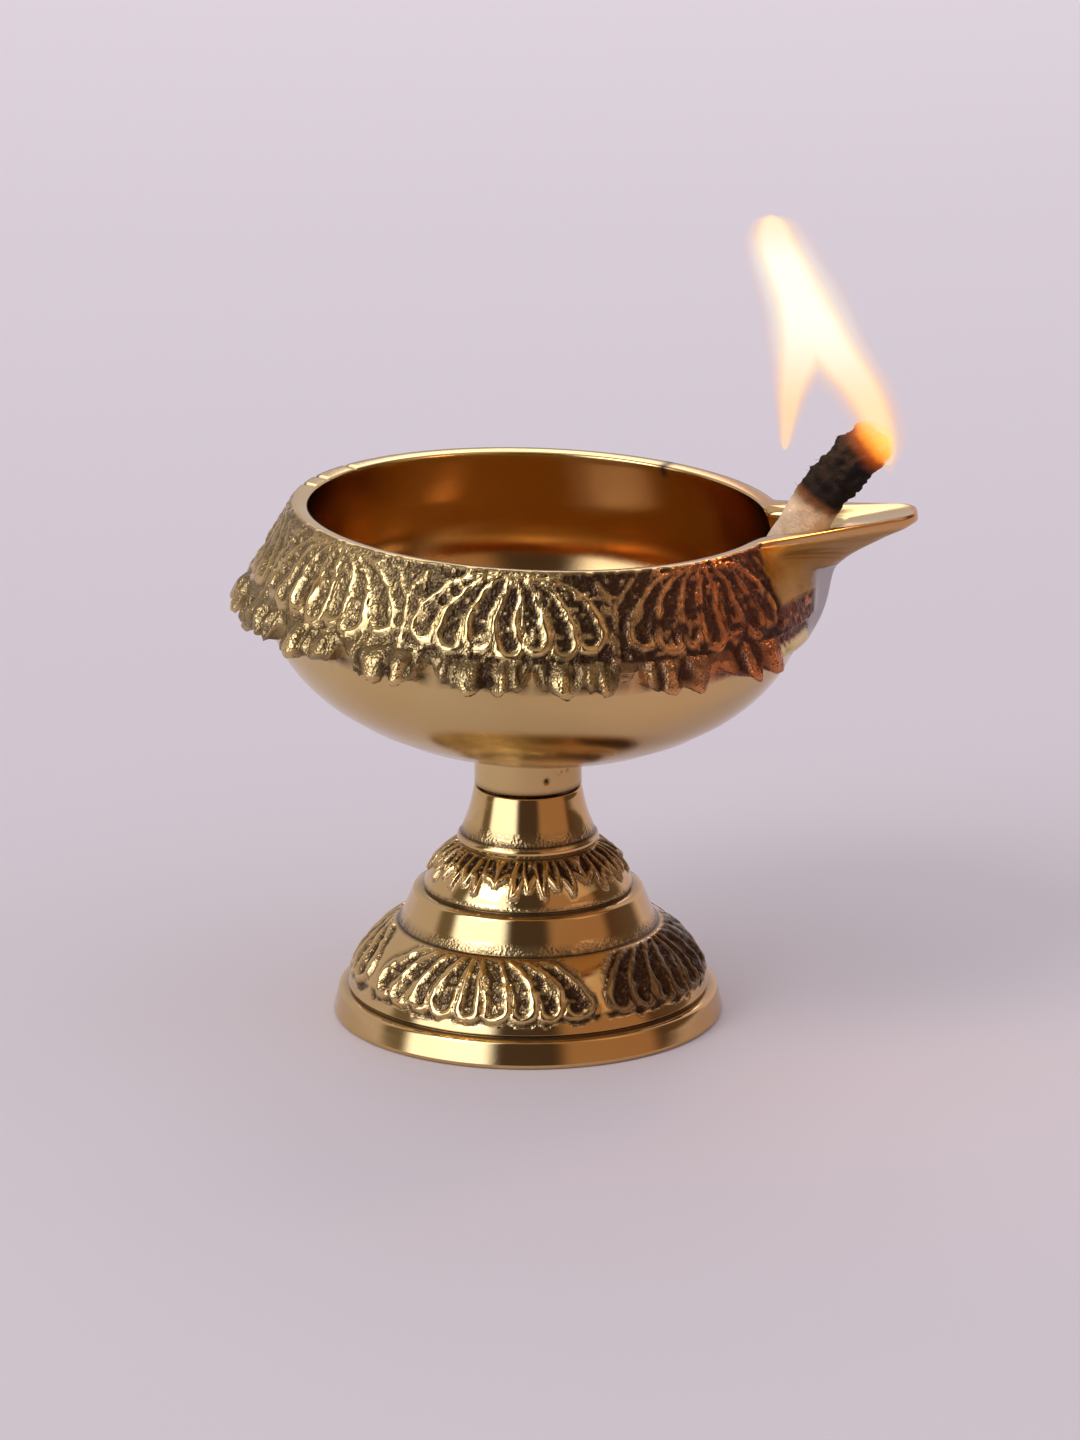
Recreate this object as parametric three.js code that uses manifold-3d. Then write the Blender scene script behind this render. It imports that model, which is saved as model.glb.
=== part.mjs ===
// A small footed brass oil lamp: a hollow turned stand, a stud and collar that screw the bowl to it, a cast
// bowl with a frilled edge and a spout, a pool of oil, a cotton wick that beds in the spout, and its flame.
// Millimetres, +Z up. The spout points along +X, and the lamp stands on z = 0.
import * as THREE from "three";
import { mergeVertices } from "three/addons/utils/BufferGeometryUtils.js";
import Module from "manifold-3d";

// Fits
const PIECE_GAP = 0.3; // between pieces that touch on the real lamp
const THREAD_CLEARANCE = 0.35; // stud to the plain bore that stands for its tapped hole
const WICK_CLEARANCE = 0.4; // wick to the oil round it
const EDGE_ROUND = 0.5; // cast and filed edges

// Stand, from the table up
const FOOT_RADIUS = 24.4;
const FOOT_RING_WIDTH = 2.3; // flat ring that the lamp rests on
const FOOT_CHAMFER = 0.6;
const FLANGE_HEIGHT = 3.3;
const FLANGE_TAPER = 0.5; // loss of radius up the flange
const LOWER_DOME_RADIUS = 22.6;
const LOWER_DOME_HEIGHT = 7.9;
const DOME_SWELL = 0.5; // from 0, a plain cone, to 1, a quarter of an ellipse
const BAND_RADIUS = 16.1;
const BAND_HEIGHT = 4.4;
const BAND_TAPER = 1.8; // loss of radius up the plain band
const UPPER_DOME_RADIUS = 13.1;
const UPPER_DOME_HEIGHT = 5.9;
const BEAD_RADIUS = 8.9;
const BEAD_HEIGHT = 1.5;
const CONE_RADIUS = 8.4; // at the foot of the cone
const CONE_HEIGHT = 5.8;
const CONE_HOLLOW = 0.2; // how far the cone's side curves in
const NECK_RADIUS = 6.7; // top of the cone and collar
const GROOVE_DEPTH = 0.5; // turned line at the foot of each dome
const LEDGE_WIDTH = 0.4; // narrow ledge at the top of each dome
const STAND_WALL = 2;
const STAND_SIDES = 60;

// Screw joint
const STUD_RADIUS = 3.9;
const THREAD_DEPTH = 0.55;
const THREAD_PITCH = 1.25;
const STUD_GRIP = 6.9; // length held in the stand
const COLLAR_HEIGHT = 4.4; // seam to the lowest point of the belly
const STUD_SIDES = 18;
const ROWS_PER_TURN = 4;

// Bowl, with heights taken from the seam and the axis of the bowl
const BOWL_LEAN = 2; // degrees that the bowl sits off square, towards its spout
const BELLY_RADIUS = 33.2;
const BELLY_DEPTH = 19.6;
const BELLY_WALL = 2.3;
const FRILL_OVERHANG = 4.1; // beyond the belly
const FRILL_HEIGHT = 3.4;
const FRILL_DROP = 2; // lower edge of the frill below the widest level of the belly
const FRILL_LOBES = 48;
const LOBES_PER_GROUP = 3;
const LOBE_DEPTH = 0.9;
const NOTCH_DEPTH = 1.2; // extra depth between two groups of lobes
const NOTCH_RISE = 0.8; // how far the lower edge rises, for each millimetre that it is cut in
const FRILL_FADE = 10; // degrees over which the frill dies away beside the prow
const SHOULDER_STEP = 2.1; // frill to the foot of the shoulder
const SHOULDER_HEIGHT = 10.2; // top of the frill to the rim
const RIM_RADIUS = 30.3;
const RIM_WIDTH = 2;
const RIM_SLOPE = 0.3; // fall of the rim towards the mouth

// Spout: a tongue that runs out from the rim, over a plain prow
const SPOUT_LENGTH = 16.5; // beyond the rim
const SPOUT_NOSE = 4.3;
const SPOUT_ROOT_ANGLE = 20.5; // degrees each side
const SPOUT_RISE = 9; // degrees
const SPOUT_LIP = 1.6; // width of the edge round the tip
const SPOUT_EDGE = 1.2; // upright face of the tip
const SPOUT_THICKNESS = 2.6; // where the underside turns up to the tip
const SPOUT_UNDERCUT = 3.2; // from the tip back to that turn
const PROW_DEPTH = 3.6; // rim to the top of the prow
const PROW_NOSE = 5.4;
const PROW_ROOT_ANGLE = 22; // degrees each side
// Keel of the prow: [beyond the shoulder's foot, share of the way from the frill's foot to the prow's top]
const PROW_KEEL = [
  [-0.8, -0.08],
  [0.4, 0.19],
  [0.8, 0.32],
  [1.1, 0.36],
  [1.4, 0.5],
  [2, 0.8],
  [3.4, 1],
];
const CHANNEL_ROOT_ANGLE = 15; // degrees each side
const CHANNEL_DEPTH = 1.2; // below the edges of the tongue
const SPOUT_STEPS = 12; // angles across half the spout

// Oil, wick and flame
const OIL_DEPTH = 8;
const WICK_RADIUS = 3.1;
const WICK_SLOPE = 61; // degrees, in the bowl's own frame
const WICK_OUT = 5; // straight wick beyond the rim's level
const WICK_IN = 22; // straight wick below the rim's level
const WICK_CURL = 12; // degrees by which its charred end leans further out
const WICK_END = 9.8; // length of that end
const WICK_TAIL = 15; // wick that lies on the floor
const WICK_INSET = 0.4; // its axis at the rim's level, inside the widest radius of the belly
const WICK_BEND = 7; // run over which the wick turns onto the floor
const CHAR_TAPER = 0.7; // end of the wick, as a share of its radius
const CHAR_ROUND = 4; // length over which the end is drawn in
const WICK_SIDES = 12;
const WICK_STEPS = 22;
const FLAME_HEIGHT = 29.6; // from its lower edge to its tip
const FLAME_WIDTH = 18.7;
const FLAME_THICKNESS = 5.5;
const FLAME_GAP = 0.3; // flame to the wick's char
const FLAME_BEHIND = 16.6; // back edge of the flame behind the end of the wick
const FLAME_BELOW = 2.5; // lower edge of the flame below the end of the wick
const TONGUE_STEPS = 12;

const { clamp, degToRad, lerp, smoothstep } = THREE.MathUtils;
const lean = degToRad(BOWL_LEAN);
const lipRise = Math.tan(degToRad(SPOUT_RISE));
const wickRise = Math.tan(degToRad(WICK_SLOPE));

// Stand levels, above the table
const LOWER_DOME_Z = FLANGE_HEIGHT + GROOVE_DEPTH;
const BAND_Z = LOWER_DOME_Z + LOWER_DOME_HEIGHT;
const UPPER_DOME_Z = BAND_Z + BAND_HEIGHT;
const BEAD_Z = UPPER_DOME_Z + UPPER_DOME_HEIGHT;
const CONE_Z = BEAD_Z + BEAD_HEIGHT;
const SEAM_Z = CONE_Z + CONE_HEIGHT;

// Bowl levels, above the seam, and radii
const BELLY_LEVEL = COLLAR_HEIGHT + BELLY_DEPTH; // where the belly is widest
const FRILL_FOOT = BELLY_LEVEL - FRILL_DROP;
const FRILL_TOP = FRILL_FOOT + FRILL_HEIGHT;
const RIM_LEVEL = FRILL_TOP + SHOULDER_HEIGHT;
const FLOOR_RADIUS = BELLY_RADIUS - BELLY_WALL;
const FLOOR_DEPTH = BELLY_DEPTH - BELLY_WALL;
const FRILL_RADIUS = BELLY_RADIUS + FRILL_OVERHANG;
const SHOULDER_RADIUS = FRILL_RADIUS - SHOULDER_STEP;
const MOUTH_RADIUS = RIM_RADIUS - RIM_WIDTH;
const SPOUT_REACH = RIM_RADIUS + SPOUT_LENGTH;
const CHANNEL_NOSE = WICK_RADIUS + PIECE_GAP; // the wick beds in the channel

const lampFront = SPOUT_REACH * Math.cos(lean) + lipLevel(SPOUT_REACH) * Math.sin(lean);
const lampBack = -FRILL_RADIUS * Math.cos(lean) + BELLY_LEVEL * Math.sin(lean);
const AXIS_X = -(lampFront + lampBack) / 2; // the pedestal's axis, with the origin under the lamp's middle

const brass = { metalness: 1, roughness: 0.3 };
const finishes = {
  standBrass: { color: 0xb99653, ...brass },
  bowlBrass: { color: 0xbf9c5a, ...brass },
  collarBrass: { color: 0xb08d58, ...brass },
  steel: { color: 0x9a8a63, metalness: 1, roughness: 0.5 },
  cotton: { color: 0xb9a78f, metalness: 0, roughness: 0.95 },
  oil: { color: 0xb57a14, metalness: 0, roughness: 0.08 },
  flame: { color: 0xffe7ad, metalness: 0, roughness: 1, emissive: 0xffb040 },
};

function mesh(name, geometry, finish) {
  geometry.computeVertexNormals();
  const made = new THREE.Mesh(geometry, new THREE.MeshStandardMaterial(finish));
  made.name = name;
  return made;
}

// A closed surface from rings of points, each ring with as many points as the next.
// The rings are sections round the vertical axis that close on themselves, or else are capped at both ends.
function skin(rings, closed) {
  const count = rings[0].length;
  const positions = [];
  const index = [];
  const at = (i, j) => (i % rings.length) * count + (j % count);
  rings.forEach((ring) => ring.forEach((p) => positions.push(p.x, p.y, p.z)));
  const spans = closed ? rings.length : rings.length - 1;
  const ahead = closed ? 0 : 1;
  for (let i = 0; i < spans; i++)
    for (let j = 0; j < count; j++) {
      const near = [at(i, j + 1 - ahead), at(i, j + ahead)];
      const far = [at(i + 1, j + 1 - ahead), at(i + 1, j + ahead)];
      index.push(near[0], near[1], far[1]);
      index.push(near[0], far[1], far[0]);
    }
  if (!closed) {
    [rings[0], rings[rings.length - 1]].forEach((ring, end) => {
      const centre = ring.reduce((sum, p) => sum.add(p), new THREE.Vector3()).divideScalar(count);
      const hub = positions.length / 3;
      const from = end ? (rings.length - 1) * count : 0;
      positions.push(centre.x, centre.y, centre.z);
      for (let j = 0; j < count; j++) {
        const pair = [from + j, from + ((j + 1) % count)];
        index.push(hub, pair[end ? 0 : 1], pair[end ? 1 : 0]);
      }
    });
  }
  const geometry = new THREE.BufferGeometry();
  geometry.setAttribute("position", new THREE.Float32BufferAttribute(positions, 3));
  geometry.setIndex(index);
  return geometry;
}

// A turned piece whose profile closes on itself, from [radius, height] points taken anticlockwise.
function turned(profile, sides) {
  const points = [...profile, profile[0]].map(([r, z]) => new THREE.Vector2(r, z));
  return new THREE.LatheGeometry(points, sides).rotateX(Math.PI / 2);
}

// Points of a dome from its foot to its top, swelling beyond the straight line between them.
function dome(footRadius, footZ, topRadius, height, steps) {
  return Array.from({ length: steps + 1 }, (_, i) => {
    const turn = ((i / steps) * Math.PI) / 2;
    const inward = lerp(i / steps, 1 - Math.cos(turn), DOME_SWELL);
    const upward = lerp(i / steps, Math.sin(turn), DOME_SWELL);
    return [lerp(footRadius, topRadius, inward), footZ + height * upward];
  });
}

// STAND
function makeStand() {
  const upperFoot = UPPER_DOME_Z + GROOVE_DEPTH;
  const outside = [
    [FOOT_RADIUS - FOOT_CHAMFER, 0],
    [FOOT_RADIUS, FOOT_CHAMFER],
    [FOOT_RADIUS - FLANGE_TAPER, FLANGE_HEIGHT - EDGE_ROUND],
    [FOOT_RADIUS - FLANGE_TAPER - EDGE_ROUND, FLANGE_HEIGHT],
    [LOWER_DOME_RADIUS - GROOVE_DEPTH, FLANGE_HEIGHT],
    ...dome(LOWER_DOME_RADIUS, LOWER_DOME_Z, BAND_RADIUS + LEDGE_WIDTH, LOWER_DOME_HEIGHT, 6),
    [BAND_RADIUS, BAND_Z],
    [BAND_RADIUS - BAND_TAPER, UPPER_DOME_Z],
    [UPPER_DOME_RADIUS - GROOVE_DEPTH, UPPER_DOME_Z],
    ...dome(UPPER_DOME_RADIUS, upperFoot, BEAD_RADIUS - LEDGE_WIDTH, BEAD_Z - upperFoot, 4),
    [BEAD_RADIUS, BEAD_Z + BEAD_HEIGHT / 2],
    [CONE_RADIUS, CONE_Z],
    [(CONE_RADIUS + NECK_RADIUS) / 2 - CONE_HOLLOW, CONE_Z + CONE_HEIGHT / 2],
    [NECK_RADIUS, SEAM_Z],
  ];
  const boreRadius = STUD_RADIUS + THREAD_CLEARANCE;
  const hollow = (radius, z, topRadius, height, steps) =>
    dome(radius - STAND_WALL, z, topRadius, height - STAND_WALL, steps).reverse();
  const inside = [
    [boreRadius, SEAM_Z],
    ...hollow(UPPER_DOME_RADIUS, UPPER_DOME_Z, boreRadius, UPPER_DOME_HEIGHT, 3),
    [BAND_RADIUS - BAND_TAPER - STAND_WALL, UPPER_DOME_Z - STAND_WALL],
    ...hollow(LOWER_DOME_RADIUS, LOWER_DOME_Z, BAND_RADIUS - STAND_WALL, LOWER_DOME_HEIGHT, 4),
    [FOOT_RADIUS - FOOT_CHAMFER - FOOT_RING_WIDTH, 0],
  ];
  return turned([...outside, ...inside], STAND_SIDES);
}

// SCREW JOINT
function makeStud() {
  const bottom = SEAM_Z - STUD_GRIP;
  const top = SEAM_Z + COLLAR_HEIGHT - 2 * PIECE_GAP;
  const turns = (top - bottom) / THREAD_PITCH;
  const rows = Math.round(turns * ROWS_PER_TURN);
  const rings = [];
  for (let i = 0; i <= rows; i++) {
    const z = lerp(bottom, top, i / rows);
    rings.push(
      Array.from({ length: STUD_SIDES }, (_, j) => {
        const turn = (j / STUD_SIDES) * 2 * Math.PI;
        const climb = (z - bottom) / THREAD_PITCH - j / STUD_SIDES;
        const crest = 0.5 + 0.5 * Math.cos(2 * Math.PI * climb);
        const radius = STUD_RADIUS - THREAD_DEPTH * (1 - crest);
        return new THREE.Vector3(radius * Math.cos(turn), radius * Math.sin(turn), z);
      }),
    );
  }
  return skin(rings, false);
}

// The collar's top follows the leaning belly above it.
function makeCollar() {
  const boreRadius = STUD_RADIUS + THREAD_CLEARANCE;
  const bottom = SEAM_Z + PIECE_GAP;
  const under = (radius, turn) =>
    SEAM_Z + bellyLevel(radius) - PIECE_GAP - radius * Math.cos(turn) * Math.sin(lean);
  const rings = Array.from({ length: STAND_SIDES }, (_, i) => {
    const turn = (i / STAND_SIDES) * 2 * Math.PI;
    const section = [
      [boreRadius, bottom],
      [NECK_RADIUS, bottom],
      [NECK_RADIUS, under(NECK_RADIUS, turn)],
      [boreRadius, under(boreRadius, turn)],
    ];
    return section.map(([r, z]) => new THREE.Vector3(r * Math.cos(turn), r * Math.sin(turn), z));
  });
  return skin(rings, true);
}

// BOWL
// Height of the belly's outer face above the seam, at a radius.
function bellyLevel(radius) {
  return BELLY_LEVEL - BELLY_DEPTH * Math.sqrt(1 - (radius / BELLY_RADIUS) ** 2);
}

// Height of the tongue's upper edges above the seam, at a distance from the bowl's axis.
function lipLevel(reach) {
  return RIM_LEVEL + (reach - RIM_RADIUS) * lipRise;
}

// Where the underside of the wick beds in the channel, as a distance from the bowl's axis, at a level.
function wickSeat(level) {
  const across = (WICK_RADIUS + PIECE_GAP) / Math.sin(degToRad(WICK_SLOPE));
  return BELLY_RADIUS - WICK_INSET + across + (level - RIM_LEVEL) / wickRise;
}

// Radius of the outer face of the shoulder at a level.
function shoulderRadius(level) {
  return lerp(SHOULDER_RADIUS, RIM_RADIUS, (level - FRILL_TOP) / SHOULDER_HEIGHT);
}

// Radius of the inside of the shoulder at a level, from the mouth down to the widest level of the belly.
function insideRadius(level) {
  const share = (RIM_LEVEL - level) / (RIM_LEVEL - BELLY_LEVEL);
  return lerp(MOUTH_RADIUS, FLOOR_RADIUS, Math.sin((share * Math.PI) / 2));
}

// Distance from the axis to a wedge with a round nose, seen from above, at an angle from the spout. Its sides
// start on a circle, rootAngle to each side, and run tangent to the nose. Beyond them it is the circle.
function wedgeRadius(turn, reach, nose, circle, rootAngle) {
  const angle = Math.abs(turn);
  if (angle >= rootAngle || reach <= circle) return circle;
  const centre = new THREE.Vector2(reach - nose, 0);
  const root = new THREE.Vector2(circle * Math.cos(rootAngle), circle * Math.sin(rootAngle));
  const side = root.clone().sub(centre);
  const tangent = side.angle() - Math.acos(clamp(nose / side.length(), -1, 1));
  const touch = new THREE.Vector2(Math.cos(tangent), Math.sin(tangent)).multiplyScalar(nose).add(centre);
  if (angle <= touch.angle()) {
    const across = centre.x * Math.sin(angle);
    return centre.x * Math.cos(angle) + Math.sqrt(Math.max(nose ** 2 - across ** 2, 0));
  }
  const run = touch.clone().sub(root);
  return root.cross(run) / (Math.cos(angle) * run.y - Math.sin(angle) * run.x);
}

// Angles of the bowl's sections from the spout, once round: close steps across it, then even ones.
function bowlAngles() {
  const edge = degToRad(PROW_ROOT_ANGLE);
  const across = Array.from({ length: 2 * SPOUT_STEPS + 1 }, (_, i) => edge * (i / SPOUT_STEPS - 1));
  const even = Array.from({ length: 2 * FRILL_LOBES }, (_, i) => (i * Math.PI) / FRILL_LOBES);
  const plain = even.filter((turn) => turn > edge && turn < 2 * Math.PI - edge);
  return [...across, ...plain];
}

// Depth of the frill's edge at an angle: small lobes, with a deeper notch after each group.
function lobeCut(turn) {
  const lobe = 0.5 - 0.5 * Math.cos(FRILL_LOBES * turn);
  const groups = FRILL_LOBES / LOBES_PER_GROUP;
  const notch = Math.max(0, -Math.cos(groups * turn)) ** 6;
  return LOBE_DEPTH * lobe + NOTCH_DEPTH * notch;
}

// One section of the bowl at an angle, from the bottom of the belly up, over the rim and down to the floor.
function bowlSection(turn) {
  const points = [];

  // A point that stands at (radius, level) round the bowl, and runs out to (reach, height) at the spout.
  function place(radius, level, [reach, height], nose, rootAngle) {
    const out = wedgeRadius(turn, reach, nose, radius, degToRad(rootAngle));
    const share = reach > radius ? clamp((out - radius) / (reach - radius), 0, 1) : 0;
    points.push([out, lerp(level, height, share)]);
  }
  const prow = (radius, level, keel) => place(radius, level, keel, PROW_NOSE, PROW_ROOT_ANGLE);
  const spout = (radius, level, end) => place(radius, level, end, SPOUT_NOSE, SPOUT_ROOT_ANGLE);
  const channel = (radius, level, end) => place(radius, level, end, CHANNEL_NOSE, CHANNEL_ROOT_ANGLE);

  // belly
  const bellyTop = Math.acos(FRILL_DROP / BELLY_DEPTH); // where the belly runs into the frill
  const bellySteps = 9;
  for (let i = 0; i < bellySteps; i++) {
    const radius = BELLY_RADIUS * Math.sin((i / bellySteps) * bellyTop);
    points.push([radius, bellyLevel(radius)]);
  }
  // frill, which dies away beside the prow
  const fromSpout = Math.abs(Math.atan2(Math.sin(turn), Math.cos(turn)));
  const frill = smoothstep(fromSpout, degToRad(PROW_ROOT_ANGLE), degToRad(PROW_ROOT_ANGLE + FRILL_FADE));
  const cut = lobeCut(turn) * frill;
  const edge = lerp(SHOULDER_RADIUS - EDGE_ROUND, FRILL_RADIUS, frill) - cut;
  const prowTop = RIM_LEVEL - PROW_DEPTH;
  const keel = PROW_KEEL.map(([out, up]) => [SHOULDER_RADIUS + out, lerp(FRILL_FOOT, prowTop, up)]);
  prow(BELLY_RADIUS * Math.sin(bellyTop), FRILL_FOOT, keel[0]);
  prow(edge - EDGE_ROUND, FRILL_FOOT + NOTCH_RISE * cut, keel[1]);
  prow(edge, FRILL_FOOT + NOTCH_RISE * cut + EDGE_ROUND, keel[2]);
  prow(edge + cut / 2, FRILL_TOP - EDGE_ROUND, keel[3]);
  prow(SHOULDER_RADIUS, FRILL_TOP, keel[4]);
  // shoulder, which runs out into the underside of the spout
  const halfway = (FRILL_TOP + RIM_LEVEL) / 2;
  const turnUp = SPOUT_REACH - SPOUT_UNDERCUT;
  prow(shoulderRadius(halfway), halfway, keel[5]);
  spout(shoulderRadius(RIM_LEVEL - 4 * EDGE_ROUND), RIM_LEVEL - 4 * EDGE_ROUND, keel[6]);
  spout(RIM_RADIUS + EDGE_ROUND, RIM_LEVEL - 2 * EDGE_ROUND, [turnUp, lipLevel(turnUp) - SPOUT_THICKNESS]);
  const lip = lipLevel(SPOUT_REACH);
  spout(RIM_RADIUS + EDGE_ROUND / 4, RIM_LEVEL - EDGE_ROUND, [SPOUT_REACH, lip - SPOUT_EDGE]);
  spout(RIM_RADIUS, RIM_LEVEL, [SPOUT_REACH - EDGE_ROUND / 2, lip]);
  // mouth and channel
  const tip = SPOUT_REACH - SPOUT_LIP;
  const seatAtRim = wickSeat(RIM_LEVEL);
  const heel = (seatAtRim * wickRise - RIM_RADIUS * lipRise - CHANNEL_DEPTH) / (wickRise - lipRise);
  const heelLevel = lipLevel(heel) - CHANNEL_DEPTH; // where the tongue's floor turns down along the wick
  const mouth = [1, 2, 3, 4].map((i) => lerp(RIM_LEVEL, BELLY_LEVEL, i / 6));
  channel(MOUTH_RADIUS, RIM_LEVEL - RIM_SLOPE, [tip, lipLevel(tip)]);
  channel(insideRadius(RIM_LEVEL - 2 * EDGE_ROUND), RIM_LEVEL - 2 * EDGE_ROUND, [
    tip - EDGE_ROUND,
    lipLevel(tip) - CHANNEL_DEPTH,
  ]);
  channel(insideRadius(mouth[0]), mouth[0], [heel, heelLevel]);
  mouth.slice(1).forEach((level) => channel(insideRadius(level), level, [wickSeat(level), level]));
  // inside of the belly
  const innerSteps = 8;
  for (let i = innerSteps; i >= 0; i--) {
    const turnDown = ((i / innerSteps) * Math.PI) / 2;
    points.push([FLOOR_RADIUS * Math.sin(turnDown), BELLY_LEVEL - FLOOR_DEPTH * Math.cos(turnDown)]);
  }
  return points;
}

function makeBowl() {
  const sections = bowlAngles().map((turn) =>
    bowlSection(turn).map(([r, z]) => new THREE.Vector3(r * Math.cos(turn), r * Math.sin(turn), z)),
  );
  return welded(skin(sections, true));
}

// WICK
// Height of the bowl's floor above the seam, at a radius.
function floorLevel(radius) {
  return BELLY_LEVEL - FLOOR_DEPTH * Math.sqrt(1 - (radius / FLOOR_RADIUS) ** 2);
}

// The wick's middle line in the bowl's frame: along the floor, round a bend, straight up the channel and out.
function wickPath() {
  const along = (degrees) => new THREE.Vector3(Math.cos(degToRad(degrees)), 0, Math.sin(degToRad(degrees)));
  const run = along(WICK_SLOPE);
  const atRim = new THREE.Vector3(BELLY_RADIUS - WICK_INSET, 0, RIM_LEVEL);
  const bend = atRim.clone().addScaledVector(run, -WICK_IN);
  const curl = atRim.clone().addScaledVector(run, WICK_OUT);
  const onFloor = (x) => new THREE.Vector3(x, 0, floorLevel(x) + WICK_RADIUS + 2 * PIECE_GAP);
  const start = bend.x - WICK_BEND;
  return new THREE.CatmullRomCurve3(
    [
      onFloor(start - WICK_TAIL),
      onFloor(start - WICK_TAIL / 2),
      onFloor(start),
      bend,
      atRim.clone().addScaledVector(run, -WICK_IN / 2),
      atRim,
      curl,
      curl.clone().addScaledVector(along(WICK_SLOPE - WICK_CURL), WICK_END),
    ],
    false,
    "centripetal",
  );
}

// The wick, with its charred end drawn in a little, or the room round it when it is made thicker.
function makeWick(extra) {
  const path = wickPath();
  const length = path.getLength();
  const rings = [];
  const side = new THREE.Vector3(0, 1, 0);
  for (let i = 0; i <= WICK_STEPS; i++) {
    const share = i / WICK_STEPS;
    const centre = path.getPointAt(share);
    const across = side.clone().cross(path.getTangentAt(share));
    const fullness = clamp(((1 - share) * length) / CHAR_ROUND, 0, 1);
    const radius = WICK_RADIUS * lerp(CHAR_TAPER, 1, Math.sqrt(fullness)) + extra;
    rings.push(
      Array.from({ length: WICK_SIDES }, (_, j) => {
        const turn = (j / WICK_SIDES) * 2 * Math.PI;
        return centre
          .clone()
          .addScaledVector(across, radius * Math.cos(turn))
          .addScaledVector(side, radius * Math.sin(turn));
      }),
    );
  }
  if (extra > 0) {
    const push = path.getTangentAt(1).multiplyScalar(extra);
    rings.push(rings[WICK_STEPS].map((p) => p.clone().add(push)));
  }
  return skin(rings, false);
}

// OIL AND FLAME
const wasm = await Module();
wasm.setup();

// The same shape with its shared points merged and only its positions kept.
function welded(geometry) {
  const bare = new THREE.BufferGeometry();
  bare.setAttribute("position", geometry.getAttribute("position"));
  bare.setIndex(geometry.index);
  return mergeVertices(bare, 1e-4);
}

function solid(geometry) {
  const merged = welded(geometry);
  const vertProperties = new Float32Array(merged.attributes.position.array);
  const triVerts = new Uint32Array(merged.index.array);
  return new wasm.Manifold(new wasm.Mesh({ numProp: 3, vertProperties, triVerts }));
}

function fromSolid(made) {
  const { numProp, vertProperties, triVerts } = made.getMesh();
  const positions = [];
  for (let i = 0; i < vertProperties.length; i += numProp)
    positions.push(vertProperties[i], vertProperties[i + 1], vertProperties[i + 2]);
  const geometry = new THREE.BufferGeometry();
  geometry.setAttribute("position", new THREE.Float32BufferAttribute(positions, 3));
  geometry.setIndex([...triVerts]);
  return geometry;
}

// The pool fills the floor up to a level surface, with a trench for the wick and its travel.
function makeOil() {
  const radius = FLOOR_RADIUS - PIECE_GAP;
  const depth = FLOOR_DEPTH - PIECE_GAP;
  const steps = 10;
  const profile = Array.from({ length: steps + 1 }, (_, i) => {
    const turn = ((i / steps) * Math.PI) / 2;
    return new THREE.Vector2(radius * Math.sin(turn), BELLY_LEVEL - depth * Math.cos(turn));
  });
  profile.push(new THREE.Vector2(0, BELLY_LEVEL));
  const filling = new THREE.LatheGeometry(profile, STAND_SIDES).rotateX(Math.PI / 2);
  const surface = BELLY_LEVEL - FLOOR_DEPTH + OIL_DEPTH;
  const below = new THREE.BoxGeometry(4 * radius, 4 * radius, 2 * surface).rotateY(-lean);
  const width = 2 * (WICK_RADIUS + WICK_CLEARANCE);
  const back = wickPath().getPointAt(0).x - WICK_CLEARANCE;
  const trench = new THREE.BoxGeometry(2 * radius, width, 4 * surface).translate(back + radius, 0, 0);
  return fromSolid(solid(filling).intersect(solid(below)).subtract(solid(trench)));
}

// A tongue of flame along a path in the lamp's middle plane, as wide as each point says.
// Points are [forward, up, width], as shares of the flame's width, height and width.
function tongue(points) {
  const path = new THREE.CatmullRomCurve3(
    points.map(([x, z]) => new THREE.Vector3(x * FLAME_WIDTH, 0, z * FLAME_HEIGHT)),
  );
  const side = new THREE.Vector3(0, 1, 0);
  const rings = Array.from({ length: TONGUE_STEPS + 1 }, (_, i) => {
    const share = i / TONGUE_STEPS;
    const place = share * (points.length - 1);
    const before = Math.min(Math.floor(place), points.length - 2);
    const width = lerp(points[before][2], points[before + 1][2], place - before) * FLAME_WIDTH;
    const thickness = FLAME_THICKNESS * Math.min(1, (2 * width) / FLAME_WIDTH);
    const centre = path.getPoint(share);
    const across = side.clone().cross(path.getTangent(share));
    return Array.from({ length: WICK_SIDES }, (_, j) => {
      const turn = (j / WICK_SIDES) * 2 * Math.PI;
      return centre
        .clone()
        .addScaledVector(across, (width / 2) * Math.cos(turn))
        .addScaledVector(side, (thickness / 2) * Math.sin(turn));
    });
  });
  return solid(skin(rings, false));
}

// A tall tongue over the ember and a short one behind it that joins it higher up, clear of the char between
// them. A flame stands upright, whatever the lean of the bowl.
function makeFlame() {
  const tall = tongue([
    [0.96, 0.0, 0.08],
    [0.88, 0.135, 0.24],
    [0.755, 0.27, 0.33],
    [0.567, 0.456, 0.44],
    [0.374, 0.642, 0.45],
    [0.23, 0.811, 0.35],
    [0.118, 0.963, 0.14],
    [0.09, 1.0, 0.03],
  ]);
  const short = tongue([
    [0.23, 0.024, 0.03],
    [0.246, 0.152, 0.1],
    [0.273, 0.287, 0.16],
    [0.32, 0.44, 0.24],
    [0.374, 0.608, 0.2],
  ]);
  const upright = new THREE.Matrix4().makeRotationY(lean).setPosition(0, 0, SEAM_Z);
  const end = wickPath().getPointAt(1).applyMatrix4(upright);
  const char = makeWick(FLAME_GAP).applyMatrix4(upright);
  const body = tall.add(short).translate(end.x - FLAME_BEHIND, 0, end.z - FLAME_BELOW);
  return fromSolid(body.subtract(solid(char)));
}

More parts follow.
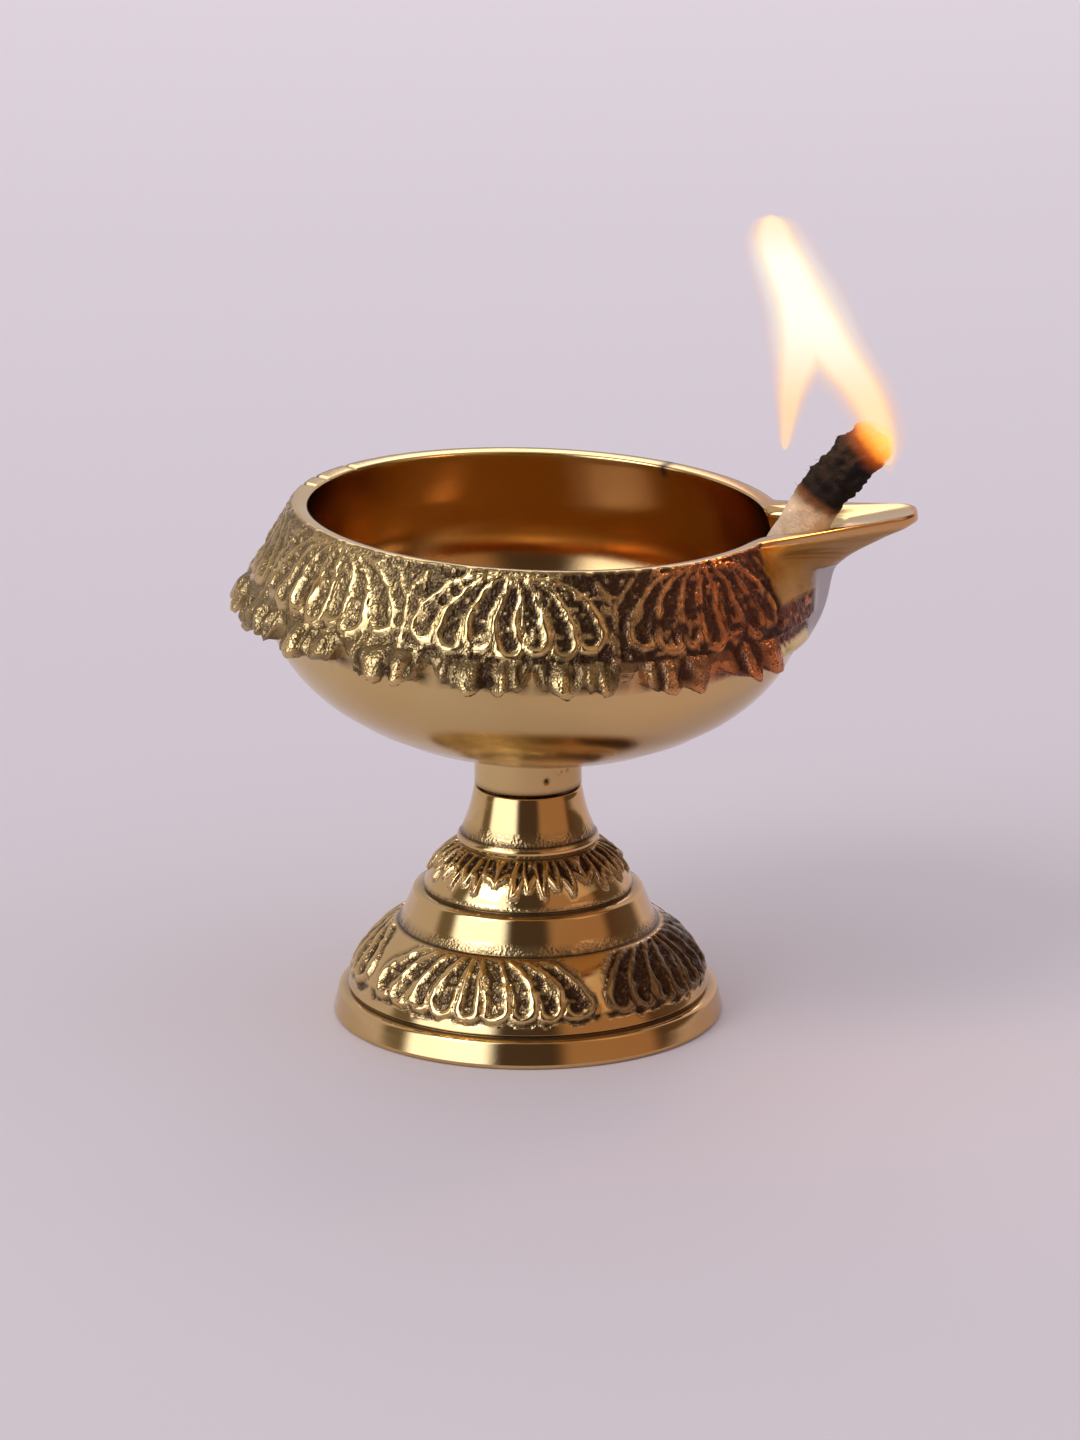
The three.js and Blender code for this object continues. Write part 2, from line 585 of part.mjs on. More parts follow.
const lamp = new THREE.Group();
lamp.position.x = AXIS_X;
lamp.add(mesh("stand", makeStand(), finishes.standBrass));
lamp.add(mesh("threaded_stud", makeStud(), finishes.steel));
lamp.add(mesh("neck_collar", makeCollar(), finishes.collarBrass));

const leaning = new THREE.Group(); // what is carried by the leaning bowl
leaning.position.z = SEAM_Z;
leaning.rotation.y = lean;
leaning.add(mesh("bowl", makeBowl(), finishes.bowlBrass));
leaning.add(mesh("oil_fill", makeOil(), finishes.oil));
leaning.add(mesh("wick", makeWick(0), finishes.cotton));
lamp.add(leaning);
lamp.add(mesh("flame", makeFlame(), finishes.flame));

const part = new THREE.Group();
part.add(lamp);
export default part;
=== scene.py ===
# %% [markdown]
# # A small brass oil lamp, lit
#
# The lamp is a cast and turned brass bowl on a hollow stand. The imported model already says where every piece is
# and how it moves, so this notebook only dresses it: fine meshes with the hand-cut petals, and a finish for each
# surface. The imports come first, then the frame.

import math

import bpy
import numpy as np
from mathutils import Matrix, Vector


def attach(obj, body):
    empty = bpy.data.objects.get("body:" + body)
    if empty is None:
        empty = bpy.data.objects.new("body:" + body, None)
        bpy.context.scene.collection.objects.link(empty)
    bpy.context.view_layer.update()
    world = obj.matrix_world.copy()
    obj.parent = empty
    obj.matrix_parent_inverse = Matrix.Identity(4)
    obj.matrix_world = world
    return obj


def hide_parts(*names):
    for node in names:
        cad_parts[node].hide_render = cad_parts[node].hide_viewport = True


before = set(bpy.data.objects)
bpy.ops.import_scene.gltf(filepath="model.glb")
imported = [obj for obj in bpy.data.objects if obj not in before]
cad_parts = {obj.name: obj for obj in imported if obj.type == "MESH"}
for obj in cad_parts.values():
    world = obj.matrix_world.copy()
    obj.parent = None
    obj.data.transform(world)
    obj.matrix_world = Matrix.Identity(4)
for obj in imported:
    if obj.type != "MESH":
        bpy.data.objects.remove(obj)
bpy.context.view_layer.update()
MM = 0.001


def placed(name, data):
    """A new object in the scene that shows the data."""
    made = bpy.data.objects.new(name, data)
    bpy.context.collection.objects.link(made)
    return made


# %% [markdown]
# ## The camera
#
# The photograph looks down on the lamp from about 84 cm away with a long lens, a little from the side of the
# spout. A long lens keeps circles nearly level, so the same distance, height and focal length are used here. The
# numbers were found by laying the solids over the foot, seam, belly and rim of the picture.

# %% Place the camera
AXIS_X = -5.8327  # the stand's own axis, in millimetres
AROUND = 6.0  # degrees from straight in front towards the spout
TURN_BACK = 0.107  # degrees that bring the lamp to its place in the picture
LOOKING_DOWN = 16.2  # degrees
DISTANCE = 800.0
EYE_HEIGHT = 270.0
LENS, SENSOR = 167.5, 36

eye = bpy.data.cameras.new("eye")
eye.sensor_width = SENSOR
eye.lens = LENS
camera = placed("eye", eye)
turned_by = math.radians(AROUND)
camera.location = (
    (AXIS_X + DISTANCE * math.sin(turned_by)) * MM,
    -DISTANCE * math.cos(turned_by) * MM,
    EYE_HEIGHT * MM,
)
camera.rotation_euler = (math.radians(90 - LOOKING_DOWN), 0, math.radians(AROUND - TURN_BACK))
bpy.context.scene.camera = camera
print("camera at, mm:", [round(v / MM) for v in camera.location])

# %% [markdown]
# ## Node trees from plain expressions
#
# Finishes and geometry trees both need many small sums. A Wire stands for one output socket and knows how to add,
# subtract, multiply and divide, so a mask can be written as `1 - worn * 0.5`. Every other node is made by one
# method that sets its settings first and then joins its sockets.

# %% Wires and graphs
class Wire:
    """One output socket. Sums on it add Math nodes."""

    def __init__(self, graph, socket):
        self.graph = graph
        self.socket = socket

    def math(self, operation, *values, clamp=False):
        return self.graph.node("ShaderNodeMath", dict(enumerate(values)), operation=operation, use_clamp=clamp)

    def __add__(self, other):
        return self.math("ADD", self, other)

    def __sub__(self, other):
        return self.math("SUBTRACT", self, other)

    def __rsub__(self, other):
        return self.math("SUBTRACT", other, self)

    def __mul__(self, other):
        return self.math("MULTIPLY", self, other)

    def __truediv__(self, other):
        return self.math("DIVIDE", self, other)

    __radd__ = __add__
    __rmul__ = __mul__

    def clamped(self):
        return self.math("ADD", self, 0.0, clamp=True)

    def between(self, low, high):
        """0 at low and 1 at high, with a soft turn at both."""
        sockets = {"Value": self, "From Min": low, "From Max": high}
        return self.graph.node("ShaderNodeMapRange", sockets, interpolation_type="SMOOTHSTEP")


class Graph:
    """Adds nodes to one node tree."""

    def __init__(self, tree):
        self.tree = tree
        tree.nodes.clear()

    def node(self, kind, sockets=None, out=0, **settings):
        made = self.tree.nodes.new(kind)
        for name, value in settings.items():
            setattr(made, name, value)
        for name, value in (sockets or {}).items():
            if isinstance(value, Wire):
                self.tree.links.new(value.socket, made.inputs[name])
            else:
                made.inputs[name].default_value = value
        return Wire(self, made.outputs[out]) if len(made.outputs) else made

    def blend(self, share, first, second):
        """A colour that goes from first to second as share goes from 0 to 1."""
        ends = [c if isinstance(c, Wire) else (*c, 1.0) for c in (first, second)]
        return self.node("ShaderNodeMix", {0: share, 6: ends[0], 7: ends[1]}, out=2, data_type="RGBA")

    def stops(self, share, stops):
        """A colour that goes through the (position, colour) stops as share goes from 0 to 1."""
        made = self.node("ShaderNodeValToRGB", {0: share})
        elements = made.socket.node.color_ramp.elements
        while len(elements) < len(stops):
            elements.new(1.0)
        for element, (position, colour) in zip(elements, stops):
            element.position = position
            element.color = (*colour, 1.0)
        return made


print("wires and graphs are ready")

# %% Finishes
class Finish(Graph):
    """A material whose patterns are read in the lamp's own coordinates or from named attributes."""

    def __init__(self, name):
        self.material = bpy.data.materials.new(name)
        self.material.use_nodes = True
        super().__init__(self.material.node_tree)
        self.place = self.node("ShaderNodeTexCoord", out=3)

    def painted(self, name):
        """A value that was stored on the mesh point by point."""
        return self.node("ShaderNodeAttribute", out=2, attribute_name=name)

    def stretched(self, scale):
        """The lamp's coordinates, stretched by a number for each axis."""
        return self.node("ShaderNodeMapping", {"Vector": self.place, "Scale": scale})

    def clouds(self, size, detail=2.0, place=None):
        """Soft noise with blots of about this size in millimetres."""
        sockets = {"Vector": place or self.place, "Scale": 1 / (size * MM), "Detail": detail}
        return self.node("ShaderNodeTexNoise", sockets)

    def grains(self, size):
        """Distance to the nearest of many scattered points, this many millimetres apart."""
        return self.node("ShaderNodeTexVoronoi", {"Vector": self.place, "Scale": 1 / (size * MM)})

    def bumped(self, height, depth):
        """A normal that is raised by height, up to this depth in millimetres."""
        return self.node("ShaderNodeBump", {"Height": height, "Distance": depth * MM, "Strength": 1.0})

    def finish(self, **sockets):
        """Joins the values to a Principled shader and the shader to the output."""
        named = {name.replace("_", " "): value for name, value in sockets.items()}
        shader = self.node("ShaderNodeBsdfPrincipled", named)
        self.node("ShaderNodeOutputMaterial", {"Surface": shader})
        return self.material


print("finishes can be mixed")

# %% [markdown]
# ## Fine meshes from rows of points
#
# Turned and cast brass is smooth, so its mesh is made of many rows that run round the axis. A profile is first
# given by a few points and then filled in with soft curves that never swing past them. Points carry numbers, such
# as how deep the dirt and painted shade lie, and the finishes read those numbers later.

# %% Rows, noise and shells
def filled(rows, counts):
    """Rows with counts[i] steps between row i and the next, on curves that don't overshoot.
    A negative count gives straight steps."""
    rows = np.asarray(rows, float)
    step = np.diff(rows, axis=0)
    product = step[:-1] * step[1:]
    total = step[:-1] + step[1:]
    inner = np.where(product > 0, 2 * product / np.where(total == 0, 1, total), 0)
    slope = np.concatenate([step[:1], inner, step[-1:]])
    out = []
    for i, count in enumerate(counts):
        for t in np.arange(abs(count)) / abs(count):
            if count < 0:
                out.append(rows[i] * (1 - t) + rows[i + 1] * t)
                continue
            ends = rows[i] * (1 - t) ** 2 * (1 + 2 * t) + rows[i + 1] * t**2 * (3 - 2 * t)
            out.append(ends + slope[i] * t * (1 - t) ** 2 - slope[i + 1] * t**2 * (1 - t))
    return np.array([*out, rows[-1]])


def lumps(turn, along, per_turn, step, seed):
    """Soft lumps from 0 to 1, per_turn of them once round and one for each step along."""
    grid = np.random.default_rng(seed).random((97, per_turn))
    across = np.mod(turn / (2 * np.pi), 1.0) * per_turn
    down = np.mod(along / step, 96.0)
    column, row = across.astype(int), np.minimum(down.astype(int), 95)
    u, v = ramp(across - column, 0, 1), ramp(down - row, 0, 1)
    after = (column + 1) % per_turn
    top = grid[row, column % per_turn] * (1 - u) + grid[row, after] * u
    bottom = grid[row + 1, column % per_turn] * (1 - u) + grid[row + 1, after] * u
    return top * (1 - v) + bottom * v


def ramp(value, low, high):
    """0 below low, 1 above high, smooth between."""
    t = np.clip((value - low) / (high - low), 0, 1)
    return t * t * (3 - 2 * t)


def bell(value, at, wide):
    """1 at a place, falling softly to 0 on both sides of it."""
    return np.exp(-(((value - at) / wide) ** 2))


def paint(mesh, painted):
    """Stores named numbers on the points of a mesh."""
    for name, values in painted.items():
        mesh.attributes.new(name, "FLOAT", "POINT").data.foreach_set("value", values.astype(np.float32))


def settled(source):
    """The mesh that an object's modifiers make. The object itself is removed."""
    evaluated = source.evaluated_get(bpy.context.evaluated_depsgraph_get())
    mesh = bpy.data.meshes.new_from_object(evaluated)
    bpy.data.objects.remove(source)
    return mesh


def shell(name, rows, painted=None, ring=False, capped=False):
    """A mesh from rows of points in millimetres that run round anticlockwise, with numbers for its points."""
    count, sides = rows.shape[:2]
    index = np.arange(count * sides).reshape(count, sides)
    upper = np.roll(index, -1, axis=0) if ring else index[1:]
    lower = index if ring else index[:-1]
    quads = [lower, np.roll(lower, -1, axis=1), np.roll(upper, -1, axis=1), upper]
    faces = np.stack(quads, axis=-1).reshape(-1, 4).tolist()
    points = rows.reshape(-1, 3)
    if capped:
        ends = np.stack([rows[0].mean(axis=0), rows[-1].mean(axis=0)])
        points = np.concatenate([points, ends])
        hub = count * sides
        first, last = index[0], index[-1]
        faces += np.stack([np.full(sides, hub), np.roll(first, -1), first], axis=-1).tolist()
        faces += np.stack([np.full(sides, hub + 1), last, np.roll(last, -1)], axis=-1).tolist()
    mesh = bpy.data.meshes.new(name)
    mesh.from_pydata((points * MM).tolist(), [], faces)
    hubs = np.zeros(len(points) - count * sides)
    flat = {key: np.broadcast_to(values, (count, sides)).ravel() for key, values in (painted or {}).items()}
    paint(mesh, {key: np.concatenate([values, hubs]) for key, values in flat.items()})
    mesh.shade_smooth()
    return placed(name, mesh)


def turned_rows(radius, level, turn):
    """Rows of a turned piece round the stand's upright axis."""
    return np.stack([radius * np.cos(turn) + AXIS_X, radius * np.sin(turn), level + 0 * turn], axis=-1)


print("mesh helpers are ready")

# %% [markdown]
# ## Hand-cut petals
#
# The bowl's shoulder and both domes of the stand carry fans of looped petals that were cut into the pattern and
# cast in sand. The middle petal of a fan lies on top, and the ones beside it bend away and slip under it. Each
# petal here is a bent line that gets wider towards its round end, and the raised edge follows the distance to that
# line. This gives soft ridges with a true height, which catch the light as the cast ones do.

# %% Distance to a petal
def petal_edge(across, down, line, widths):
    """Distance outside the edge of a petal whose middle line is given, negative inside it."""
    nearest = np.full(across.shape, 99.0)
    for (a, b), (wide_a, wide_b) in zip(zip(line, line[1:]), zip(widths, widths[1:])):
        run = b - a
        share = np.clip(((across - a[0]) * run[0] + (down - a[1]) * run[1]) / (run @ run), 0, 1)
        gap = np.hypot(across - a[0] - share * run[0], down - a[1] - share * run[1])
        nearest = np.minimum(nearest, gap - (wide_a + (wide_b - wide_a) * share))
    return nearest


def bent_line(start, knee, end, steps=12):
    """Points of a bend from start to end that leans towards its knee."""
    t = np.linspace(0, 1, steps + 1)[:, None]
    start, knee, end = (np.array(p, float) for p in (start, knee, end))
    return start * (1 - t) ** 2 + 2 * knee * t * (1 - t) + end * t**2


def fan(across, down, petals, ridge_width):
    """Height, dirt and distance to the nearest petal for one fan, whose first petal lies uppermost."""
    height = np.full(across.shape, -0.14)
    dirt_and_shade = np.ones(across.shape)
    nearest = np.full(across.shape, 99.0)
    free = np.ones(across.shape, bool)
    for line, widths in petals:
        gap = petal_edge(np.abs(across), down, line, widths)
        swell = ramp(down, line[0][1], line[-1][1])
        wide = ridge_width * (0.7 + 0.6 * swell)
        ridge = np.exp(-(np.abs(gap / wide) ** 3))
        mine = free & (gap < wide * 1.2)
        inner = ramp(-gap, wide, 2.2 * wide)
        height = np.where(mine, ridge * (0.5 + 0.5 * swell) * 0.48 - 0.16 * inner, height)
        dirt_and_shade = np.where(mine, np.clip(1.15 - 1.5 * ridge, 0, 1), dirt_and_shade)
        nearest = np.minimum(nearest, gap)
        free &= ~mine
    return height, dirt_and_shade, nearest


print("petals can be drawn")

# %% [markdown]
# ## Embossing with Geometry Nodes
#
# The petals were worked out as a number on every point. A small geometry tree now moves each point along its own
# normal by that number. The depth is an input, so the same tree serves the bowl and the stand, and a deeper or
# flatter casting is one number away.

# %% The emboss tree
def geometry_tree(name, inputs):
    """An empty geometry tree with a geometry input, the named inputs and a geometry output."""
    tree = bpy.data.node_groups.new(name, "GeometryNodeTree")
    tree.interface.new_socket("Geometry", in_out="OUTPUT", socket_type="NodeSocketGeometry")
    for label, kind in {"Geometry": "Geometry", **inputs}.items():
        tree.interface.new_socket(label, in_out="INPUT", socket_type="NodeSocket" + kind)
    graph = Graph(tree)
    source = tree.nodes.new("NodeGroupInput")
    return graph, {socket.name: Wire(graph, socket) for socket in source.outputs if socket.name}


def stored(graph, name):
    """A number that is stored on the points."""
    return graph.node("GeometryNodeInputNamedAttribute", {"Name": name}, data_type="FLOAT")


def pushed(graph, geometry, distance):
    """The geometry with every point moved out along its normal."""
    outward = graph.node("GeometryNodeInputNormal")
    push = graph.node("ShaderNodeVectorMath", {0: outward, "Scale": distance}, operation="SCALE")
    return graph.node("GeometryNodeSetPosition", {"Geometry": geometry, "Offset": push})


def joined(graph, first, second):
    """Two geometries as one."""
    both = graph.node("GeometryNodeJoinGeometry", {0: first})
    graph.tree.links.new(second.socket, both.socket.node.inputs[0])
    return both


def end_tree(graph, geometry, finish):
    """Makes instances real, sets the finish and joins the output."""
    real = graph.node("GeometryNodeRealizeInstances", {0: geometry})
    dressed = graph.node("GeometryNodeSetMaterial", {"Geometry": real, "Material": finish})
    graph.node("NodeGroupOutput", {0: dressed})


def grown(source, graph, **values):
    """The plain mesh object that the tree makes from the source, which is then removed."""
    modifier = source.modifiers.new("tree", "NODES")
    modifier.node_group = graph.tree
    for item in graph.tree.interface.items_tree:
        if item.in_out == "INPUT" and item.name in values:
            modifier[item.identifier] = values[item.name]
    name = source.name
    mesh = settled(source)
    mesh.name = name
    print(name, "has", sum(len(f.vertices) - 2 for f in mesh.polygons), "triangles")
    return placed(name, mesh)


EMBOSS_INPUTS = {"Depth": "Float", "Finish": "Material"}
emboss, given = geometry_tree("emboss", EMBOSS_INPUTS)
raised = pushed(emboss, given["Geometry"], stored(emboss, "relief") * given["Depth"])
end_tree(emboss, raised, given["Finish"])
print("emboss tree has", len(emboss.tree.nodes), "nodes")

# %% [markdown]
# ## Brass that has been handled
#
# Cast brass is pale gold where fingers and cloths rub it and dark brown where wax, soot and polish stay in the
# hollows. So a finish is a clean metal under dirt: the clean part has slow colour changes and fine marks of turning
# in its normal, and the dirt takes away the shine. The same dirt share also carries painted shade, and the heat
# tint carries painted warm light from the flame. What differs from piece to piece is how deep the marks are, how
# much it shines and how warm it is.

# %% The brass recipe
PALE_BRASS = (0.70, 0.52, 0.24)
GOLD_BRASS = (0.62, 0.40, 0.14)
# Copper: a heat tint together with painted warm light from the flame. The two dark colours below are dirt with
# painted shade, the second one reddened in the same way.
COPPER_TINT_AND_FLAME_LIGHT = (0.62, 0.20, 0.07)
DIRT_AND_SHADE_BROWN = (0.042, 0.021, 0.009)
DIRT_AND_SHADE_RED = (0.060, 0.015, 0.006)
TURNING_MARKS = (15, 15, 5000)


def aged(f):
    """The numbers painted on the mesh, fine noise, casting grains and the share of dirt and painted shade at a
    point.
    """
    dirt_and_shade, cast, heat_tint_and_flame_light = (f.painted(name) for name in ("dirt_and_shade", "cast", "reddened_by_heat_and_flame_light"))
    fine, grains = f.clouds(0.9, 3), f.grains(0.38)
    dirt_and_shade_share = (dirt_and_shade * (0.85 + fine * 0.35) + cast * (0.4 - grains) * 0.15).clamped()
    return cast, heat_tint_and_flame_light, fine, grains, dirt_and_shade_share


def dirty_metal(f, clean, cast, heat_tint_and_flame_light, dirt_and_shade_share, metal, rough, height):
    """A clean colour under the dirt and painted shade that lie on it, with the roughness and height of bare metal.
    """
    return f.finish(
        Base_Color=f.blend(dirt_and_shade_share, clean, f.blend(heat_tint_and_flame_light, DIRT_AND_SHADE_BROWN, DIRT_AND_SHADE_RED)),
        Metallic=metal,
        Roughness=(rough + dirt_and_shade_share * 0.16 + cast * 0.05).clamped(),
        Specular_IOR_Level=0.2,
        Normal=f.bumped(height, 1.0),
    )


def brass(name, mark_depth=0.012, shine=0.2, warm=0.35):
    """Brass with the marks of turning, and the dirt with painted shade, the cast, and the heat tint with painted
    flame light, all stored on its mesh.
    """
    f = Finish(name)
    cast, heat_tint_and_flame_light, fine, grains, dirt_and_shade_share = aged(f)
    slow, tool = f.clouds(14), f.clouds(1, 3, f.stretched(TURNING_MARKS))
    gold = f.blend(slow.between(0.35, 0.7) * warm + 0.1, PALE_BRASS, GOLD_BRASS)
    clean = f.blend(heat_tint_and_flame_light * 0.8, gold, COPPER_TINT_AND_FLAME_LIGHT)
    rough = shine + slow * 0.04 + tool * 0.05
    height = tool * mark_depth + cast * (grains * 0.12 + fine * 0.08)
    return dirty_metal(f, clean, cast, heat_tint_and_flame_light, dirt_and_shade_share, 1 - dirt_and_shade_share * 0.3, rough, height)


print("brass is ready:", PALE_BRASS)

# %% [markdown]
# ## The stand
#
# The foot is a flange, two petalled domes with a plain band between them, a bead and a cone. It was cast hollow
# and then skimmed on a lathe, so the plain parts carry fine rings and the domes don't. Its lower dome has four
# wide fans and its upper dome six narrow ones.

# %% Profile of the stand
SEAM = 29.3
DOME_SWELL = 0.5


def dome(foot, level, top, height, steps):
    """Points of a dome from its foot up, halfway between a cone and a quarter of an ellipse."""
    share = np.linspace(0, 1, steps + 1)
    turn = share * np.pi / 2
    inward = share + (1 - np.cos(turn) - share) * DOME_SWELL
    upward = share + (np.sin(turn) - share) * DOME_SWELL
    return [(foot + (top - foot) * i, level + height * u) for i, u in zip(inward, upward)]


foot_part = [(22.6, 0.0), (23.8, 0.0), (24.3, 0.12), (24.42, 0.45), (24.38, 0.62), (23.78, 2.98)]
foot_part += [(23.7, 3.18), (23.5, 3.3), (22.35, 3.3), (22.1, 3.35), (22.12, 3.5), (22.4, 3.75)]
lower_dome = dome(22.6, 3.8, 16.5, 7.9, 8)
band_part = [(16.3, 11.8), (16.1, 11.92), (16.03, 12.08), (14.48, 15.75), (14.41, 15.92), (14.25, 16.1)]
band_part += [(12.9, 16.15), (12.62, 16.2), (12.75, 16.5)]
upper_dome = dome(13.1, 16.6, 8.5, 5.4, 5)
top_part = [(8.35, 22.1), (8.75, 22.3), (8.9, 22.7), (8.75, 23.15), (8.4, 23.4), (8.3, 23.75)]
top_part += [(7.35, 26.4), (6.74, 29.1), (6.66, 29.25), (6.5, 29.3), (4.25, 29.3)]
hollow = [(4.25, 20.0), (7.9, 18.9), (11.1, 16.1), (12.3, 14.1), (14.1, 9.7), (18.3, 7.6), (20.6, 3.8), (21.5, 0.0)]
stand_steps = [-1, 1, 1, 1, -3, 1, 1, -1, 1, 1, 1, 1] + [6] * 8 + [1, 1, 1, -3, 1, 1, -1, 1, 1, 1] + [7] * 5
stand_steps += [1, 1, 1, 1, 1, 1, 3, 3, 1, 1, -1, -2] + [1] * 7
stand_profile = filled(foot_part + lower_dome + band_part + upper_dome + top_part + hollow, stand_steps)
print("stand profile has", len(stand_profile), "points")

# %% Petals of the stand
STAND_SIDES = 740
turn = np.linspace(0, 2 * np.pi, STAND_SIDES, endpoint=False)[None, :]
radius, level = stand_profile.T[:, :, None]
OUTSIDE_STEPS = 46  # steps of the profile before the hollow begins
outer = np.arange(len(stand_profile))[:, None] < np.abs(stand_steps[:OUTSIDE_STEPS]).sum()


def fan_turn(turn, fans, first):
    """Angle from the middle of the nearest of some even fans, the first of them at the given degrees."""
    width = 2 * np.pi / fans
    return np.mod(turn - math.radians(first) + width / 2, width) - width / 2


def ragged(turn, down, seed):
    """How far a hand-cut line strays, in millimetres."""
    return (lumps(turn, down, 64, 3.2, seed) - 0.5) * 1.0 + (lumps(turn, down, 210, 0.9, seed + 30) - 0.5) * 0.28


def petal_set(count, spread, top, knee, ends, widths):
    """Lines and widths of the petals on one half of a fan, the middle one first."""
    lines = []
    for k in range(count):
        out, end = spread * k, ends[k % len(ends)] - 0.12 * k
        lines.append((bent_line((0.16 * out, top), (0.78 * out, top + knee), (out, end)), widths))
    return lines


ROUND_PETAL = np.linspace(0.25, 1, 13) ** 0.8
LEAF_PETAL = np.sin(np.linspace(0.25, 0.97, 13) * np.pi)


low_down = (11.7 - level) * 1.25
low_across = fan_turn(turn, 4, -104) * radius + ragged(turn, low_down, 3)
low_petals = petal_set(5, 3.45, 0.1, 0.8, (6.5,), 1.45 * ROUND_PETAL)
low_height, low_dirt, low_gap = fan(low_across, low_down, low_petals, 0.42)
low_plain = ramp(low_gap, 0.3, 1.2) * (1 - ramp(low_down, 7.0, 7.6) * ramp(2.4 - low_gap, 0, 0.8))
stray = lumps(turn, level * 0, 120, 1, 6)
low_on = outer * ramp(level + 0.7 * stray, 5.2, 5.5) * (1 - ramp(level, 11.4, 11.65)) * (1 - low_plain)
up_down = (22.0 - level) * 1.3
up_across = fan_turn(turn, 6, -75) * radius + ragged(turn, up_down, 5) * 0.7
up_petals = petal_set(4, 2.0, 0.0, 0.5, (4.7, 3.9, 5.0, 3.7), 0.82 * LEAF_PETAL)
up_height, up_dirt, up_gap = fan(up_across, up_down, up_petals, 0.26)
up_plain = ramp(up_gap, 0.15, 0.7)
up_on = outer * ramp(level, 17.6, 17.9) * (1 - ramp(level, 21.75, 21.95)) * (1 - up_plain)
stipple = lumps(turn, level, 190, 0.5, 7)
specks = ramp(stipple, 0.6, 0.9)
uneven = 0.65 + 0.6 * lumps(turn, level, 130, 1.5, 8)
low_carving = low_height * uneven + (stipple - 0.5) * (0.12 + 0.25 * low_dirt)
up_carving = up_height * uneven * 0.9 + 0.15 * (stipple - 0.5) * up_dirt
relief = low_on * low_carving + up_on * up_carving
# Painted shade: the side of the stand towards the spout is made darker.
shade_towards_spout = ramp(np.cos(turn), -0.05, 0.85)
low_dirt_and_shade = np.clip(low_dirt * (0.88 - 0.55 * specks) + 0.75 * shade_towards_spout, 0, 1)
dirt_and_shade = low_on * low_dirt_and_shade + up_on * np.clip(up_dirt * (1 - 0.4 * specks) + 0.4 * shade_towards_spout, 0, 1)
GROOVES = [(3.45, 0.2, 22.5), (11.8, 0.15, 16.9), (16.3, 0.25, 13.2), (22.15, 0.15, 99), (23.45, 0.15, 99)]
BROWN_BANDS = [(23.9, 0.42, 1.0), (12.15, 0.22, 0.8), (16.8, 0.22, 0.7)]
for at, wide, within in GROOVES:
    dirt_and_shade = np.maximum(dirt_and_shade, outer * (radius < within) * 0.95 * bell(level, at, wide))
brown = outer * sum(bell(level, at, wide) * strength for at, wide, strength in BROWN_BANDS)
cast = np.clip(low_on * low_dirt + up_on * up_dirt + 0.9 * brown, 0, 1)
dirt_and_shade = np.clip(dirt_and_shade + 0.75 * brown * (0.4 + lumps(turn, level, 300, 0.5, 9)) + 0.8 * (1 - outer), 0, 1)
print("petals reach", round(float(relief.max()), 2), "mm up and", round(float(relief.min()), 2), "mm down")

# %% Make the stand
stand_finish = brass("stand_brass", mark_depth=0.0015, shine=0.035)
# The red share is a faint copper tone all round, plus painted warm light from the flame on the side towards the
# spout.
stand_paint = {"relief": relief, "dirt_and_shade": dirt_and_shade, "cast": cast, "reddened_by_heat_and_flame_light": (0.08 + 0.3 * shade_towards_spout) * outer}
stand_shell = shell("footed_stand", turned_rows(radius, level, turn), stand_paint, ring=True)
stand = grown(stand_shell, emboss, Depth=MM, Finish=stand_finish)
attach(stand, "stand")
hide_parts("stand")

# %% [markdown]
# ## The screw joint
#
# A short collar under the bowl meets the cone of the stand in a dark seam, and a threaded stud runs through both.
# The stud only shows when the bowl is unscrewed. Its thread is a rounded ridge on a helix, so a geometry tree
# sweeps a small profile along a spiral and adds the core. The collar is turned, and has one casting pit and a
# patch of fine marks near the belly.

# %% Make the stud
STUD_INPUTS = {"Turns": "Float", "Pitch": "Float", "Finish": "Material"}
THREAD_PITCH = 1.25
STUD_FOOT, STUD_TOP, CORE_RADIUS, CHAMFER = 22.4, 33.1, 3.35, 0.4
THREAD_RADIUS, THREAD_THICK, THREAD_START = 3.42, 0.42, 0.6
stud_tree, given = geometry_tree("threaded_rod", STUD_INPUTS)
spiral = {"Resolution": 28, "Rotations": given["Turns"], "Height": given["Turns"] * given["Pitch"]}
spiral |= {"Start Radius": THREAD_RADIUS * MM, "End Radius": THREAD_RADIUS * MM, "Reverse": False}
helix = stud_tree.node("GeometryNodeCurveSpiral", spiral)
ridge_size = {"Resolution": 8, "Radius": THREAD_THICK * MM}
ridge = stud_tree.node("GeometryNodeCurvePrimitiveCircle", ridge_size, mode="RADIUS")
thread = stud_tree.node("GeometryNodeCurveToMesh", {0: helix, 1: ridge, "Fill Caps": True})
smooth = stud_tree.node("GeometryNodeSetShadeSmooth", {0: thread})
lift = {0: smooth, "Translation": (AXIS_X * MM, 0, (STUD_FOOT + THREAD_START) * MM)}
lifted = stud_tree.node("GeometryNodeTransform", lift)
end_tree(stud_tree, joined(stud_tree, given["Geometry"], lifted), given["Finish"])

around = np.linspace(0, 2 * np.pi, 64, endpoint=False)[None, :]
core = [(2.9, STUD_FOOT), (CORE_RADIUS, STUD_FOOT + CHAMFER), (CORE_RADIUS, STUD_TOP - CHAMFER), (2.9, STUD_TOP)]
core_rows = turned_rows(*filled(core, [2, 4, 2]).T[:, :, None], around)
thread_turns = (STUD_TOP - STUD_FOOT - 2 * THREAD_START) / THREAD_PITCH
stud_finish = brass("stud_brass", shine=0.34, warm=0.2)
stud_core = shell("screw_stud", core_rows, {"dirt_and_shade": np.full((1, 1), 0.35)}, capped=True)
stud = grown(stud_core, stud_tree, Turns=thread_turns, Pitch=THREAD_PITCH * MM, Finish=stud_finish)
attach(stud, "stud")
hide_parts("threaded_stud")

